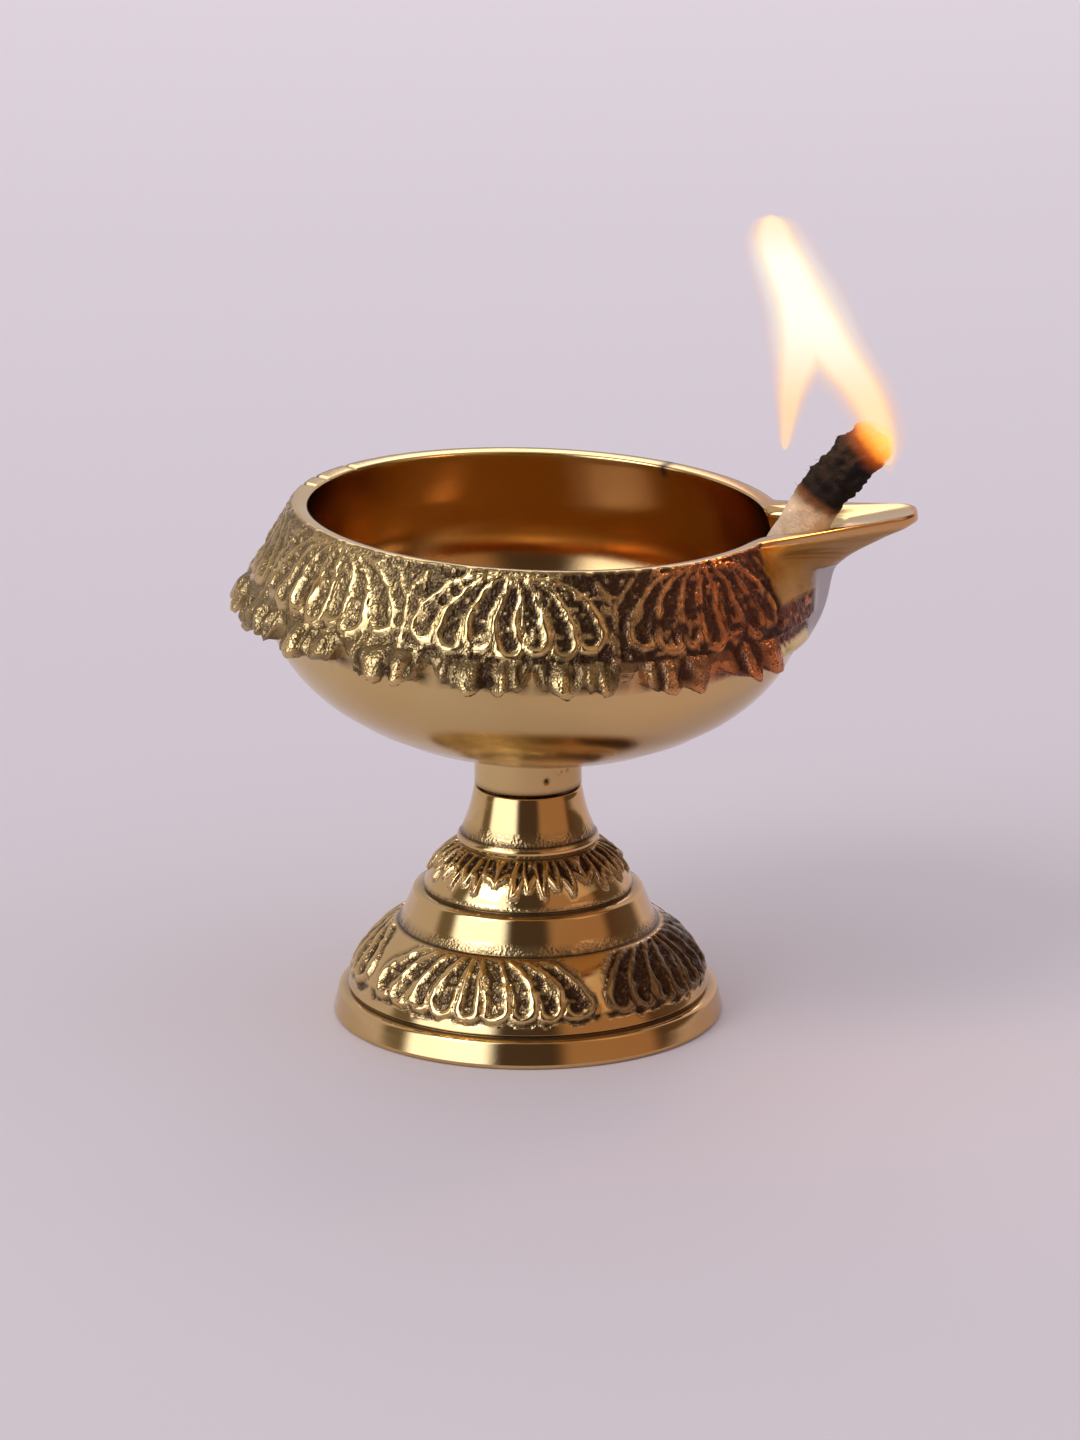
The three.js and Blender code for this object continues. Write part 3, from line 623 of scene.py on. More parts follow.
# %% Make the collar
LEAN = math.radians(2.0)
BELLY_RADIUS, BELLY_DEPTH = 33.2, 19.6
COLLAR_HEIGHT, COLLAR_RADIUS, COLLAR_BORE, SEAM_GAP = 4.4, 6.7, 4.25, 0.3
BELLY_LEVEL = COLLAR_HEIGHT + BELLY_DEPTH


def belly_level(radius):
    """Height of the belly's outer face above the seam."""
    return BELLY_LEVEL - BELLY_DEPTH * np.sqrt(1 - np.clip(radius / BELLY_RADIUS, 0, 1) ** 2)


def meets_belly(radius):
    """Level at which a round wall meets the leaning belly."""
    return belly_level(radius) - SEAM_GAP - radius * np.cos(around) * math.sin(LEAN)


around = np.linspace(0, 2 * np.pi, 320, endpoint=False)[None, :]
flat = 0 * around
meets = meets_belly(COLLAR_RADIUS)
side_level = SEAM_GAP + 0.15 + (meets - 2 * SEAM_GAP) * np.linspace(0, 1, 15)[:, None]
pit = bell(fan_turn(around, 1, -64) * COLLAR_RADIUS, 0, 0.34) * bell(side_level, 2.2, 0.28)
side_radius = COLLAR_RADIUS - 0.25 * pit
below, above = [[flat + radius for radius in ends] for ends in ((COLLAR_BORE, 6.3, 6.6), (6.55, 6.25, COLLAR_BORE))]
collar_radius = np.concatenate([*below, side_radius, *above])
low = flat + SEAM_GAP
collar_level = np.concatenate([low, low, low + 0.05, side_level, meets - 0.04, meets, meets_belly(COLLAR_BORE)])
collar_rows = turned_rows(collar_radius, collar_level + SEAM, around)
# Darker at the seam and where the collar meets the belly: dirt in the joints, with painted shade under the belly.
joint_dirt_and_shade = bell(collar_level, SEAM_GAP, 0.4) * 0.6 + bell(collar_level, meets, 0.25) * 0.5
bare = np.zeros((3, around.shape[1]))
patch = bell(fan_turn(around, 1, -44) * COLLAR_RADIUS, 0, 0.9) * bell(side_level, 3.4, 0.5)
patch *= ramp(lumps(around, side_level, 110, 0.35, 17), 0.45, 0.7)
# Painted shade on the side towards the spout; the red share below is painted warm light from the flame on that
# side.
shade = ramp(np.cos(around), -0.6, 0.8) + 0 * collar_level
marks = np.concatenate([bare, 1.2 * pit + 0.7 * patch, bare])
collar_paint = {"dirt_and_shade": np.clip(joint_dirt_and_shade + marks + 0.16 * shade, 0, 1), "reddened_by_heat_and_flame_light": 0.3 * shade}
collar = shell("turned_collar", collar_rows, collar_paint, ring=True)
collar.data.materials.append(brass("collar_brass", mark_depth=0.002, shine=0.1, warm=0.3))
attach(collar, "bowl")
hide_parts("neck_collar")
print("collar rows:", collar_rows.shape)

# %% [markdown]
# ## The bowl
#
# The bowl is one casting: a smooth belly, a knobbly frill, a shoulder with seven fans of petals, a plain rim, and
# a spout whose tongue runs out over a plain prow. Every section from the bottom of the belly over the rim to the
# floor follows the same rule, and at the spout its points move out along wedges with round noses. So the bowl is
# made as rows round the axis, like the stand, but with a radius and a level that change with the angle.

# %% Sizes of the bowl
FRILL_RADIUS, SHOULDER_RADIUS, RIM_RADIUS, MOUTH_RADIUS = 37.3, 35.2, 30.3, 28.3
FRILL_FOOT, FRILL_TOP, RIM_LEVEL = 22.0, 25.4, 35.6
SPOUT_REACH, PROW_TOP = 46.8, 32.0
SPOUT, PROW, CHANNEL = (4.3, 20.5), (5.4, 22.0), (3.4, 15.0)  # nose in mm and root in degrees of each wedge
DISH, THROAT = (3.8, 15.0), (2.6, 13.0)  # the same for the tongue's dish and the throat behind it
BOW_LENGTH, BOW_SHARE = 2.6, 0.84  # the blunt bow of the prow
WICK_RADIUS, WICK_SLOPE, WICK_AT_RIM = 3.1, math.radians(61), 32.8
LIP_RISE = math.tan(math.radians(9))
FLOOR_RADIUS, FLOOR_DEPTH = 30.9, 17.3
BOWL_SIDES = 930


def lip_level(reach):
    """Height of the tongue's upper edges above the seam."""
    return RIM_LEVEL + (reach - RIM_RADIUS) * LIP_RISE


def wick_seat(height):
    """Distance from the axis to where the wick beds in the channel."""
    return WICK_AT_RIM + CHANNEL[0] / math.sin(WICK_SLOPE) + (height - RIM_LEVEL) / math.tan(WICK_SLOPE)


def inside_radius(height):
    """Radius of the inside from the mouth down to the widest level."""
    share = (RIM_LEVEL - height) / (RIM_LEVEL - BELLY_LEVEL)
    return MOUTH_RADIUS + (FLOOR_RADIUS - MOUTH_RADIUS) * math.sin(share * math.pi / 2)


def ray(angle, start_x, start_y, end_x, end_y):
    """Distance from the axis at each angle to the line through two points, seen from above."""
    run_x, run_y = end_x - start_x, end_y - start_y
    return (start_x * run_y - start_y * run_x) / (np.cos(angle) * run_y - np.sin(angle) * run_x)


def wedge(turn, reach, circle, nose, root, flat=False):
    """Distance from the axis to a wedge that grows out of a circle, with a round nose or a flat bow."""
    angle, root = np.abs(turn), math.radians(root)
    centre = reach - nose
    root_x, root_y = circle * math.cos(root), circle * math.sin(root)
    side = math.hypot(root_x - centre, root_y)
    lean_in = math.atan2(root_y, root_x - centre) - math.acos(min(1, nose / side))
    touch_x, touch_y = centre + nose * math.cos(lean_in), nose * math.sin(lean_in)
    if flat:
        corner_x, corner_y = reach - BOW_LENGTH, nose * BOW_SHARE
        bow, flank = ray(angle, corner_x, corner_y, reach, 0), ray(angle, root_x, root_y, corner_x, corner_y)
        out = np.minimum(np.where(angle < math.atan2(corner_y, corner_x), bow, flank), reach - 0.35)
    else:
        tip = centre * np.cos(angle) + np.sqrt(np.clip(nose**2 - (centre * np.sin(angle)) ** 2, 0, None))
        flank = ray(angle, root_x, root_y, touch_x, touch_y)
        out = np.where(angle <= math.atan2(touch_y, touch_x), tip, flank)
    return np.where(angle >= root, circle, out)


print("spout reaches", SPOUT_REACH, "mm from the axis, lip at", round(lip_level(SPOUT_REACH), 2))

# %% Sections of the bowl
around = np.linspace(-np.pi, np.pi, BOWL_SIDES, endpoint=False)
from_spout = np.degrees(np.abs(around))
stations = []


def station(radius, height):
    """Adds one row of the bowl, as radius and level above the seam."""
    stations.append(np.stack([radius + 0 * around, height + 0 * around], axis=-1))


def drawn_out(radius, height, end, shape):
    """Adds a row that runs out to end, a (reach, level) pair, at the spout."""
    circle = float(np.broadcast_to(radius, around.shape)[BOWL_SIDES // 2])
    out = wedge(around, end[0], circle, *shape, flat=shape == PROW)
    share = np.clip((out - circle) / (end[0] - circle), 0, 1)
    station(np.where(share > 0, out, radius), height + (end[1] - height) * share)


bottom_turn = math.acos(2.0 / BELLY_DEPTH)
for i in range(1, 10):
    belly = BELLY_RADIUS * math.sin(i / 10 * bottom_turn)
    station(belly, belly_level(belly))
faded = ramp(from_spout, PROW[1], PROW[1] + 10)
stray = lumps(around, 0 * around, 96, 1, 21)
uneven_turn = around + 0.05 * (stray - 0.5)
from_notch = np.degrees(fan_turn(uneven_turn, 18, -84))
lobe = 0.5 - 0.5 * np.cos(np.radians(54 * from_notch))
notch = np.clip(1 - np.abs(from_notch + 0.6) / 3.4, 0, 1)
cut = (0.9 * lobe * (0.4 + stray) + 3.0 * notch) * faded
edge = SHOULDER_RADIUS - 0.5 + (FRILL_RADIUS - SHOULDER_RADIUS + 0.5) * faded - cut
keel_shares = [(-0.8, -0.08), (0.4, 0.19), (0.8, 0.32), (1.1, 0.36), (1.4, 0.5), (2, 0.8), (3.4, 1)]
keel = [(SHOULDER_RADIUS + out, FRILL_FOOT + (PROW_TOP - FRILL_FOOT) * up) for out, up in keel_shares]
foot = FRILL_FOOT + 0.8 * cut
prow_rows = [(BELLY_RADIUS * math.sin(bottom_turn), FRILL_FOOT), (edge - 0.5, foot), (edge, foot + 0.5)]
prow_rows += [(edge - 0.8 + cut / 2, FRILL_TOP - 0.9), (SHOULDER_RADIUS - 0.1, FRILL_TOP + 0.3), (32.75, 30.5)]
for (out, height), end in zip(prow_rows, keel):
    drawn_out(out, height, end, PROW)
drawn_out(31.26, 33.6, keel[-1], SPOUT)
turn_up, lip = SPOUT_REACH - 3.2, lip_level(SPOUT_REACH)
drawn_out(RIM_RADIUS + 0.5, 34.6, (turn_up, lip_level(turn_up) - 2.6), SPOUT)
drawn_out(RIM_RADIUS + 0.12, 35.1, (SPOUT_REACH, lip - 1.2), SPOUT)
drawn_out(RIM_RADIUS, RIM_LEVEL, (SPOUT_REACH - 0.25, lip), SPOUT)
tip = SPOUT_REACH - 1.6
rise = math.tan(WICK_SLOPE)
heel = (wick_seat(RIM_LEVEL) * rise - RIM_RADIUS * LIP_RISE - 1.2) / (rise - LIP_RISE)
drawn_out(MOUTH_RADIUS, 35.3, (tip + 0.6, lip_level(tip)), DISH)
drawn_out(inside_radius(34.6), 34.6, (tip - 3.0, lip_level(tip) - 0.95), THROAT)
mouth = [RIM_LEVEL + (BELLY_LEVEL - RIM_LEVEL) * i / 6 for i in (1, 2, 3, 4)]
drawn_out(inside_radius(mouth[0]), mouth[0], (heel, lip_level(heel) - 1.2), CHANNEL)
for height in mouth[1:]:
    drawn_out(inside_radius(height), height, (wick_seat(height), height), CHANNEL)
for i in range(9, 0, -1):
    down = i / 9 * math.pi / 2
    station(FLOOR_RADIUS * math.sin(down), BELLY_LEVEL - FLOOR_DEPTH * math.cos(down))
print("bowl has", len(stations), "stations")

# %% Rows of the bowl, softened round the roots of the spout
steps = [1] * 5 + [2] * 4 + [7, 2, 7, 5, 20, 17, 4, 2, 2, 3, 2, 2, 2, 2, 2, 2] + [1] * 8
sections = filled(stations, steps)
shifts = np.arange(-6, 7)
kernel = bell(shifts * 360 / BOWL_SIDES, 0, 0.8)
soft = sum(np.roll(sections, shift, axis=1) * share for shift, share in zip(shifts, kernel / kernel.sum()))
near_root = ramp(from_spout, 9, 12) * (1 - ramp(from_spout, 25, 28))
sections += (soft - sections) * near_root[None, :, None]
out, up = sections[..., 0], sections[..., 1]
turn = around + 0 * out
zone = np.searchsorted(np.cumsum(steps), np.arange(len(sections)), side="right")[:, None] + 0 * out
print("bowl rows:", sections.shape, "zones", int(zone.max()))

# %% [markdown]
# ## Petals and frill of the bowl
#
# Seven fans stand 45 degrees apart, and the spout takes the eighth place. Each has a middle petal and three more
# on both sides that bend away under the rim. Between two fans stands a forked rib. The frill is left as it came
# out of the sand, so it gets lumps of several sizes, with smooth facets where its groups of lobes part.

# %% Carve the bowl
def zones(first, last):
    """True on the parts of the section between two of its stations."""
    return (zone >= first) & (zone <= last)


on_shoulder = zones(13, 17)
down = (RIM_LEVEL - up) * 1.109
across = fan_turn(turn, 8, 0) * out + ragged(turn, down, 11)
spread = petal_set(4, 3.4, 1.2, 0.4, (9.0, 8.4), 1.5 * ROUND_PETAL)
height, petal_dirt, _ = fan(across, down, spread, 0.4)
inward_gap = math.pi / 8 * out - np.abs(across)
fork = bell(inward_gap, np.clip(4.6 - down, 0, None) * 0.62, 0.35) * ramp(down, 0.8, 1.3)
height = np.maximum(height, fork * 0.3)
petal_dirt = np.minimum(petal_dirt, 1 - 0.9 * fork)
stipple = lumps(turn, down, 310, 0.65, 12)
specks = ramp(stipple, 0.62, 0.9)
carved = on_shoulder * ramp(down, 0.05, 0.3) * ramp(from_spout, 21.5, 24)
uneven = 0.55 + 0.75 * lumps(turn, down, 150, 1.6, 10)
worn = ramp(lumps(turn, down, 190, 1.1, 15), 0.35, 0.85)
relief = carved * (height * uneven + (stipple - 0.5) * (0.22 + 0.26 * petal_dirt))
# Painted light: dirt and shade are weaker on the side away from the spout, which faces the window.
painted_shade_by_side = 0.66 + 0.34 * ramp(140 - from_spout, 0, 50)
dirt_and_shade = carved * np.clip(petal_dirt * (1 - 0.65 * specks) + 0.35 * worn * (1 - petal_dirt), 0, 1) * painted_shade_by_side
on_frill = zones(9, 12) * faded
face = on_frill * (1 - ramp(np.abs(zone - 11.0), 1.2, 2.2) * 0.5)
coarse = 1 - np.abs(2 * lumps(turn, up * 0.6 + out, 150, 1.5, 13) - 1)
knobs = coarse * 0.6 + lumps(turn, up + out, 260, 0.8, 14) * 0.4
blob = (1 - lobe) * (1 - 0.7 * notch)
relief += face * ((knobs - 0.5) * 1.5 + 0.1 * blob) * (1 - notch)
hollows = np.clip(1.7 - 1.3 * knobs - 0.8 * blob, 0, 1) * (1 - 0.8 * notch)
dirt_and_shade += on_frill * np.where(zone == 12, np.maximum(hollows, 0.75), hollows) * np.sqrt(painted_shade_by_side)
panel = (1 - faded) * zones(10, 13) * ramp(from_spout, 6, 8) * ramp(up, 23.4, 24.0) * (1 - ramp(up, 28.2, 28.7))
relief += panel * (stipple * 0.3 - 0.25)
dirt_and_shade += panel * (0.9 - 0.75 * specks)
degrees = np.degrees(turn)
nicks = sum(bell(degrees, at, 0.8) for at in (162.5, 170.5, 149)) * zones(16, 18)
soot = bell(degrees, 62, 1.5) * (zone >= 18) * ramp(up, 33.4, 34.4)
relief -= 0.15 * nicks
dirt_and_shade += 0.5 * nicks + 0.9 * soot
groove = bell(down, 11.4, 0.4) * on_shoulder * faded * 0.6
inner = (zone >= 19) * ramp(35.4 - up, 0.2, 1.2) * (0.05 + 0.95 * ramp(up, 18, 25))
# Painted shade: the fans grow darker towards the spout, broken up by noise.
shade_towards_spout = carved * (0.15 + 0.5 * worn) * (1 - 0.8 * specks) * ramp(88 - from_spout, 0, 30)
dirt_and_shade = np.clip(np.maximum(dirt_and_shade, groove) + shade_towards_spout, 0, 1)
cast = np.clip(carved * petal_dirt + 1.2 * shade_towards_spout + on_frill * (0.8 - 0.6 * notch) + panel, 0, 1)
# Heat tint near the spout together with painted warm light from the flame, on the fans, the belly and the rim.
heat_tint_and_flame_light = ramp(84 - from_spout, 0, 50) * np.clip(carved + on_frill + panel, 0, 1)
heat_tint_and_flame_light = np.maximum(heat_tint_and_flame_light, 0.16 * ramp(110 - from_spout, 0, 80) * (zone < 9))
heat_tint_and_flame_light = np.maximum(heat_tint_and_flame_light, 0.4 * ramp(75 - from_spout, 0, 40) * zones(17, 18))
# Where the bow gets a painted grey reflection.
bow = (1 - faded) * zones(10, 16) * (1 - ramp(from_spout, 6, 9)) * (up < 31)
filed = (1 - faded) * zones(13, 16) * (1 - panel) * (1 - bow)
print("carving reaches", round(float(relief.max()), 2), "up and", round(float(relief.min()), 2), "down")

# %% [markdown]
# ## Finish of the bowl
#
# The belly was buffed with rings that the hand follows round. The inside is never polished: oil and heat leave it
# a deep golden brown. The sides of the prow were cleaned with a file, downwards, and its blunt bow gets a painted
# grey reflection. So the bowl has its own clean colours, under the same dirt and painted shade as the other brass.

# %% Mix the bowl's finish
def bowl_brass():
    """Buffed outside, browned inside, filed at the prow, with a painted grey reflection on the bow."""
    f = Finish("bowl_brass")
    cast, heat_tint_and_flame_light, fine, grains, dirt_and_shade_share = aged(f)
    inner, filed, bow = (f.painted(name) for name in ("inside", "filed", "bow"))
    slow = f.clouds(16)
    rings = f.clouds(1, 3, f.stretched((18, 18, 2600)))
    strokes = f.clouds(1, 2, f.stretched((1100, 1100, 70)))
    streaks = f.clouds(1, 3, f.stretched((60, 60, 500))).between(0.38, 0.62)
    gold = f.blend(slow.between(0.35, 0.7) * 0.3 + 0.2, PALE_BRASS, GOLD_BRASS)
    tinted_colour = f.blend((heat_tint_and_flame_light * 1.1).clamped(), gold, COPPER_TINT_AND_FLAME_LIGHT)
    scratched = f.blend(strokes.between(0.42, 0.58), (0.26, 0.10, 0.008), (0.70, 0.33, 0.035))
    # Painted reflection: the bow is coloured grey, streaked along the file strokes.
    painted_grey_reflection = f.blend(strokes.between(0.3, 0.5), (0.10, 0.09, 0.09), (0.46, 0.44, 0.48))
    cheek = f.blend(bow * 0.85, f.blend(filed * 0.95, tinted_colour, scratched), painted_grey_reflection)
    browned = f.blend(streaks, (0.28, 0.08, 0.016), (0.88, 0.46, 0.15))
    clean = f.blend(inner * 0.9, cheek, browned)
    metal = 1 - dirt_and_shade_share * (0.3 + heat_tint_and_flame_light * 0.5).clamped()
    rough = 0.07 + slow * 0.05 + rings * 0.03
    height = rings * 0.003 + filed * strokes * 0.22 + cast * (grains * 0.12 + fine * 0.1)
    return dirty_metal(f, clean, cast, heat_tint_and_flame_light, dirt_and_shade_share, metal, rough, height)


bowl_finish = bowl_brass()
print("bowl finish has", len(bowl_finish.node_tree.nodes), "nodes")

# %% Make the bowl
def leaning(x, y, z):
    """Points of the leaning bowl's frame, in the lamp's frame."""
    across = x * math.cos(LEAN) + z * math.sin(LEAN) + AXIS_X
    return np.stack([across, y, SEAM - x * math.sin(LEAN) + z * math.cos(LEAN)], axis=-1)


bowl_rows = leaning(out * np.cos(turn), out * np.sin(turn), up)
bowl_paint = {"relief": relief, "dirt_and_shade": dirt_and_shade, "cast": cast, "reddened_by_heat_and_flame_light": heat_tint_and_flame_light}
bowl_paint |= {"inside": inner, "filed": filed, "bow": bow}
bowl_shell = shell("petalled_bowl", bowl_rows, bowl_paint, capped=True)
bowl = grown(bowl_shell, emboss, Depth=MM, Finish=bowl_finish)
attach(bowl, "bowl")
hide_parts("bowl")
lows = [min(v.co[i] for v in bowl.data.vertices) / MM for i in range(3)]
highs = [max(v.co[i] for v in bowl.data.vertices) / MM for i in range(3)]
print("bowl from", [round(v, 2) for v in lows], "to", [round(v, 2) for v in highs])

# %% [markdown]
# ## The oil
#
# Golden oil lies on the bowl's floor. Its solid is right as it is, so it only gets a finish: clear, a little
# thick in colour, and with the slow ripples of a surface that a hand has just set down.

# %% Finish the oil
oil = Finish("lamp_oil")
depth = oil.clouds(9)
tint = oil.blend(depth, (0.50, 0.25, 0.03), (0.66, 0.40, 0.07))
ripple = oil.bumped(oil.clouds(6, 1.0), 0.06)
oil_look = {"Base_Color": tint, "Roughness": 0.05 + depth * 0.04, "Transmission_Weight": 0.6}
oil_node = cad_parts["oil_fill"]
oil_node.material_slots[0].material = oil.finish(IOR=1.47, Normal=ripple, **oil_look)
print("oil finished on", oil_node.name)

# %% [markdown]
# ## The wick
#
# The wick is a tight roll of cotton wool. It lies on the floor of the bowl, bends up the channel and leaves over
# the tongue. Below, it is pale and felted, then it browns, and its end is black and ragged, with a glowing tip. A
# geometry tree sweeps a round profile along the path, presses felt lumps into it, frays the char and plants fine
# fibres. The path is the same bent line as in the frame, so the wick beds where the frame says.

# %% Path of the wick
def bend_through(points, samples):
    """Points along a centripetal Catmull-Rom curve, evenly spaced by parameter."""
    p = np.asarray(points, float)
    p = np.concatenate([[2 * p[0] - p[1]], p, [2 * p[-1] - p[-2]]])
    out = []
    for value in np.linspace(0, len(points) - 1, samples):
        i = min(int(value), len(points) - 2)
        t = value - i
        a, b, c, d = p[i : i + 4]
        ab, bc, cd = (np.linalg.norm(v) ** 0.5 for v in (b - a, c - b, d - c))
        enter = ((b - a) / ab - (c - a) / (ab + bc) + (c - b) / bc) * bc
        leave = ((c - b) / bc - (d - b) / (bc + cd) + (d - c) / cd) * bc
        turnings = (t**3 - 2 * t**2 + t) * enter + (t**3 - t**2) * leave
        out.append((2 * t**3 - 3 * t**2 + 1) * b + (3 * t**2 - 2 * t**3) * c + turnings)
    return np.array(out)


def on_floor(x):
    """Point of the wick's middle line where it lies on the bowl's floor."""
    return (x, BELLY_LEVEL - FLOOR_DEPTH * math.sqrt(1 - (x / FLOOR_RADIUS) ** 2) + WICK_RADIUS + 0.6)


def heading(angle):
    """Step of one millimetre at this angle above the level, as (out, up)."""
    return np.array([math.cos(angle), math.sin(angle)])


WICK_CURL, CURLED_LENGTH = math.radians(12), 10.6  # how the burning end leans over, and its length
run = heading(WICK_SLOPE)
at_rim = np.array([WICK_AT_RIM, RIM_LEVEL])
bend, curl = at_rim - 22 * run, at_rim + 5 * run
wick_end = curl + CURLED_LENGTH * heading(WICK_SLOPE - WICK_CURL)
tail = [on_floor(bend[0] - 7 - back) for back in (15, 7.5, 0)]
middle = bend_through([*tail, bend, at_rim - 11 * run, at_rim, curl, wick_end], 400)
travel = np.concatenate([[0], np.cumsum(np.linalg.norm(np.diff(middle, axis=0), axis=1))])
wick_length = travel[-1]
even = np.linspace(0, wick_length, 170)
middle = np.stack([np.interp(even, travel, middle[:, i]) for i in (0, 1)], axis=1)
print("wick is", round(float(wick_length), 2), "mm long")

# %% The roll of cotton
WICK_INPUTS = {"Sides": "Int", "Felt": "Float", "Fray": "Float"}
WICK_INPUTS |= {"Fibres": "Float", "Fibre length": "Float", "Finish": "Material"}
roll, given = geometry_tree("cotton_roll", WICK_INPUTS)
ring_size = {"Resolution": given["Sides"], "Radius": 1.0}
ring = roll.node("GeometryNodeCurvePrimitiveCircle", ring_size, mode="RADIUS")
line = roll.node("GeometryNodeMeshToCurve", {0: given["Geometry"]})
sweep = {0: line, 1: ring, "Scale": stored(roll, "thickness"), "Fill Caps": True}
swept = roll.node("GeometryNodeCurveToMesh", sweep)
burnt = stored(roll, "burnt")
soft = roll.node("ShaderNodeTexNoise", {"Scale": 420.0, "Detail": 3.0}) - 0.5
crumbs = roll.node("ShaderNodeTexNoise", {"Scale": 760.0, "Detail": 3.0}) - 0.5
felted = pushed(roll, swept, soft * given["Felt"] * (1 - burnt * 0.3) + crumbs * burnt * given["Fray"])
scatter = {"Mesh": felted, "Density": given["Fibres"], "Seed": 7}
spots = roll.node("GeometryNodeDistributePointsOnFaces", scatter)
lies = {0: (-1, -1, -0.4), 1: (1, 1, 1), "Seed": 3}
lie = roll.node("FunctionNodeRandomValue", lies, data_type="FLOAT_VECTOR")
point_along = roll.node("FunctionNodeAlignRotationToVector", {"Vector": lie}, axis="Z")
hair_size = {"Vertices": 3, "Side Segments": 1, "Radius Top": 0.012 * MM, "Radius Bottom": 0.03 * MM}
hair = roll.node("GeometryNodeMeshCone", {**hair_size, "Depth": given["Fibre length"]})
plant = {"Points": spots, "Instance": hair, "Rotation": point_along}
hairs = roll.node("GeometryNodeInstanceOnPoints", plant)
real_hairs = roll.node("GeometryNodeRealizeInstances", {0: hairs})
smooth = roll.node("GeometryNodeSetShadeSmooth", {0: felted})
end_tree(roll, joined(roll, smooth, real_hairs), given["Finish"])
print("cotton tree has", len(roll.tree.nodes), "nodes")

# %% Finish of the wick
cotton = Finish("wick_cotton")
burnt, glow = cotton.painted("burnt"), cotton.painted("glow")
wool, dust = cotton.clouds(1.6, 3), cotton.clouds(0.35, 3)
pale = cotton.blend(wool.between(0.3, 0.7), (0.50, 0.40, 0.29), (0.66, 0.56, 0.43))
singe = (burnt + (wool - 0.5) * 0.22).clamped()
brown = cotton.blend(singe.between(0.12, 0.42), pale, (0.16, 0.07, 0.03))
char = cotton.blend(singe.between(0.38, 0.6), brown, (0.012, 0.009, 0.008))
EMBERS = [(0.0, (0, 0, 0)), (0.3, (0.30, 0.05, 0.005)), (0.55, (1.0, 0.27, 0.02)), (1.0, (1.0, 0.64, 0.13))]
ember = cotton.stops((glow + (dust - 0.5) * 0.2 * glow).clamped(), EMBERS)
cotton_finish = cotton.finish(
    Base_Color=char,
    Roughness=(0.95 - burnt * 0.1).clamped(),
    Specular_IOR_Level=0.15,
    Emission_Color=ember,
    Emission_Strength=1.25,
    Normal=cotton.bumped(wool * 0.5 + dust, 0.16),
)
print("cotton finished")

# %% Make the wick
end_gap = wick_length - even
fullness = np.clip(end_gap / 4, 0, 1)
thickness = WICK_RADIUS * (0.7 + 0.3 * np.sqrt(fullness)) - 0.16
thickness *= np.sqrt(np.clip(1 - (1 - np.clip(end_gap / 1.6, 0, 1)) ** 2, 0.02, 1))
thickness *= np.sqrt(np.clip(1 - (1 - np.clip(even / 1.2, 0, 1)) ** 2, 0.1, 1))
burnt_share = ramp(even, wick_length - 15.5, wick_length - 7.5)
wick_line = bpy.data.meshes.new("cotton_wick")
wick_points = leaning(middle[:, 0], 0 * even, middle[:, 1]) * MM
wick_line.from_pydata(wick_points.tolist(), [(i, i + 1) for i in range(len(even) - 1)], [])
paint(wick_line, {"thickness": thickness * MM, "burnt": burnt_share})
wick_sizes = {"Felt": 0.5 * MM, "Fray": 2.6 * MM, "Fibres": 0.35 / MM**2, "Fibre length": 0.7 * MM}
wick = grown(placed("cotton_wick", wick_line), roll, Sides=64, Finish=cotton_finish, **wick_sizes)
places = np.array([v.co for v in wick.data.vertices]) / MM
tip_point = leaning(wick_end[0], 0.0, wick_end[1])
glow_along = (places - tip_point)[:, [0, 2]] @ heading(math.radians(40))
paint(wick.data, {"glow": ramp(glow_along, -4.9, 0.3)})
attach(wick, "wick")
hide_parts("wick")
print("wick ends at, mm:", np.round(tip_point, 2))

# %% [markdown]
# ## The flame
#
# A flame has no surface, so it is built from four closed skins, one inside the other: a wide halo, a thin peach
# veil, a cream one and a bright core. A skin is two tongues, a tall one over the glowing tip and a short one behind
# it, that are melted into one by a voxel remesh. The core has the tall tongue only. Their edges fade out by a
# number stored on the mesh, which keeps them soft from every side.

# %% Skins of the flame
FLAME_SIZE = np.array([18.7, 29.6])
HALF_THICK = 2.75
TONGUE_STEPS = 90
TALL = [(0.96, -0.08, 0.14), (0.925, 0.03, 0.25), (0.875, 0.129, 0.28), (0.81, 0.22, 0.30), (0.72, 0.313, 0.30)]
TALL += [(0.61, 0.405, 0.34), (0.48, 0.52, 0.41), (0.37, 0.636, 0.42), (0.285, 0.751, 0.37), (0.205, 0.866, 0.33)]
TALL += [(0.172, 0.924, 0.29), (0.160, 0.975, 0.20), (0.157, 1.0, 0.06)]
SHORT = [(0.266, 0.0, 0.04), (0.27, 0.037, 0.08), (0.284, 0.129, 0.13), (0.298, 0.22, 0.18), (0.323, 0.313, 0.24)]
SHORT += [(0.36, 0.405, 0.34), (0.38, 0.52, 0.40), (0.34, 0.636, 0.36), (0.29, 0.74, 0.26)]
flame_corner = (tip_point[0] - 17.2, tip_point[2] - 3.0)


def tongue_line(points):
    """Middle line, direction across and half width of a tongue, in millimetres."""
    points = np.array(points)
    line = bend_through(points[:, :2] * FLAME_SIZE, TONGUE_STEPS) + flame_corner
    count = len(points)
    half = np.interp(np.linspace(0, count - 1, TONGUE_STEPS), range(count), points[:, 2]) * FLAME_SIZE[0] / 2
    along = np.gradient(line, axis=0)
    along /= np.linalg.norm(along, axis=1)[:, None]
    return line, np.stack([along[:, 1], -along[:, 0]], axis=1), half


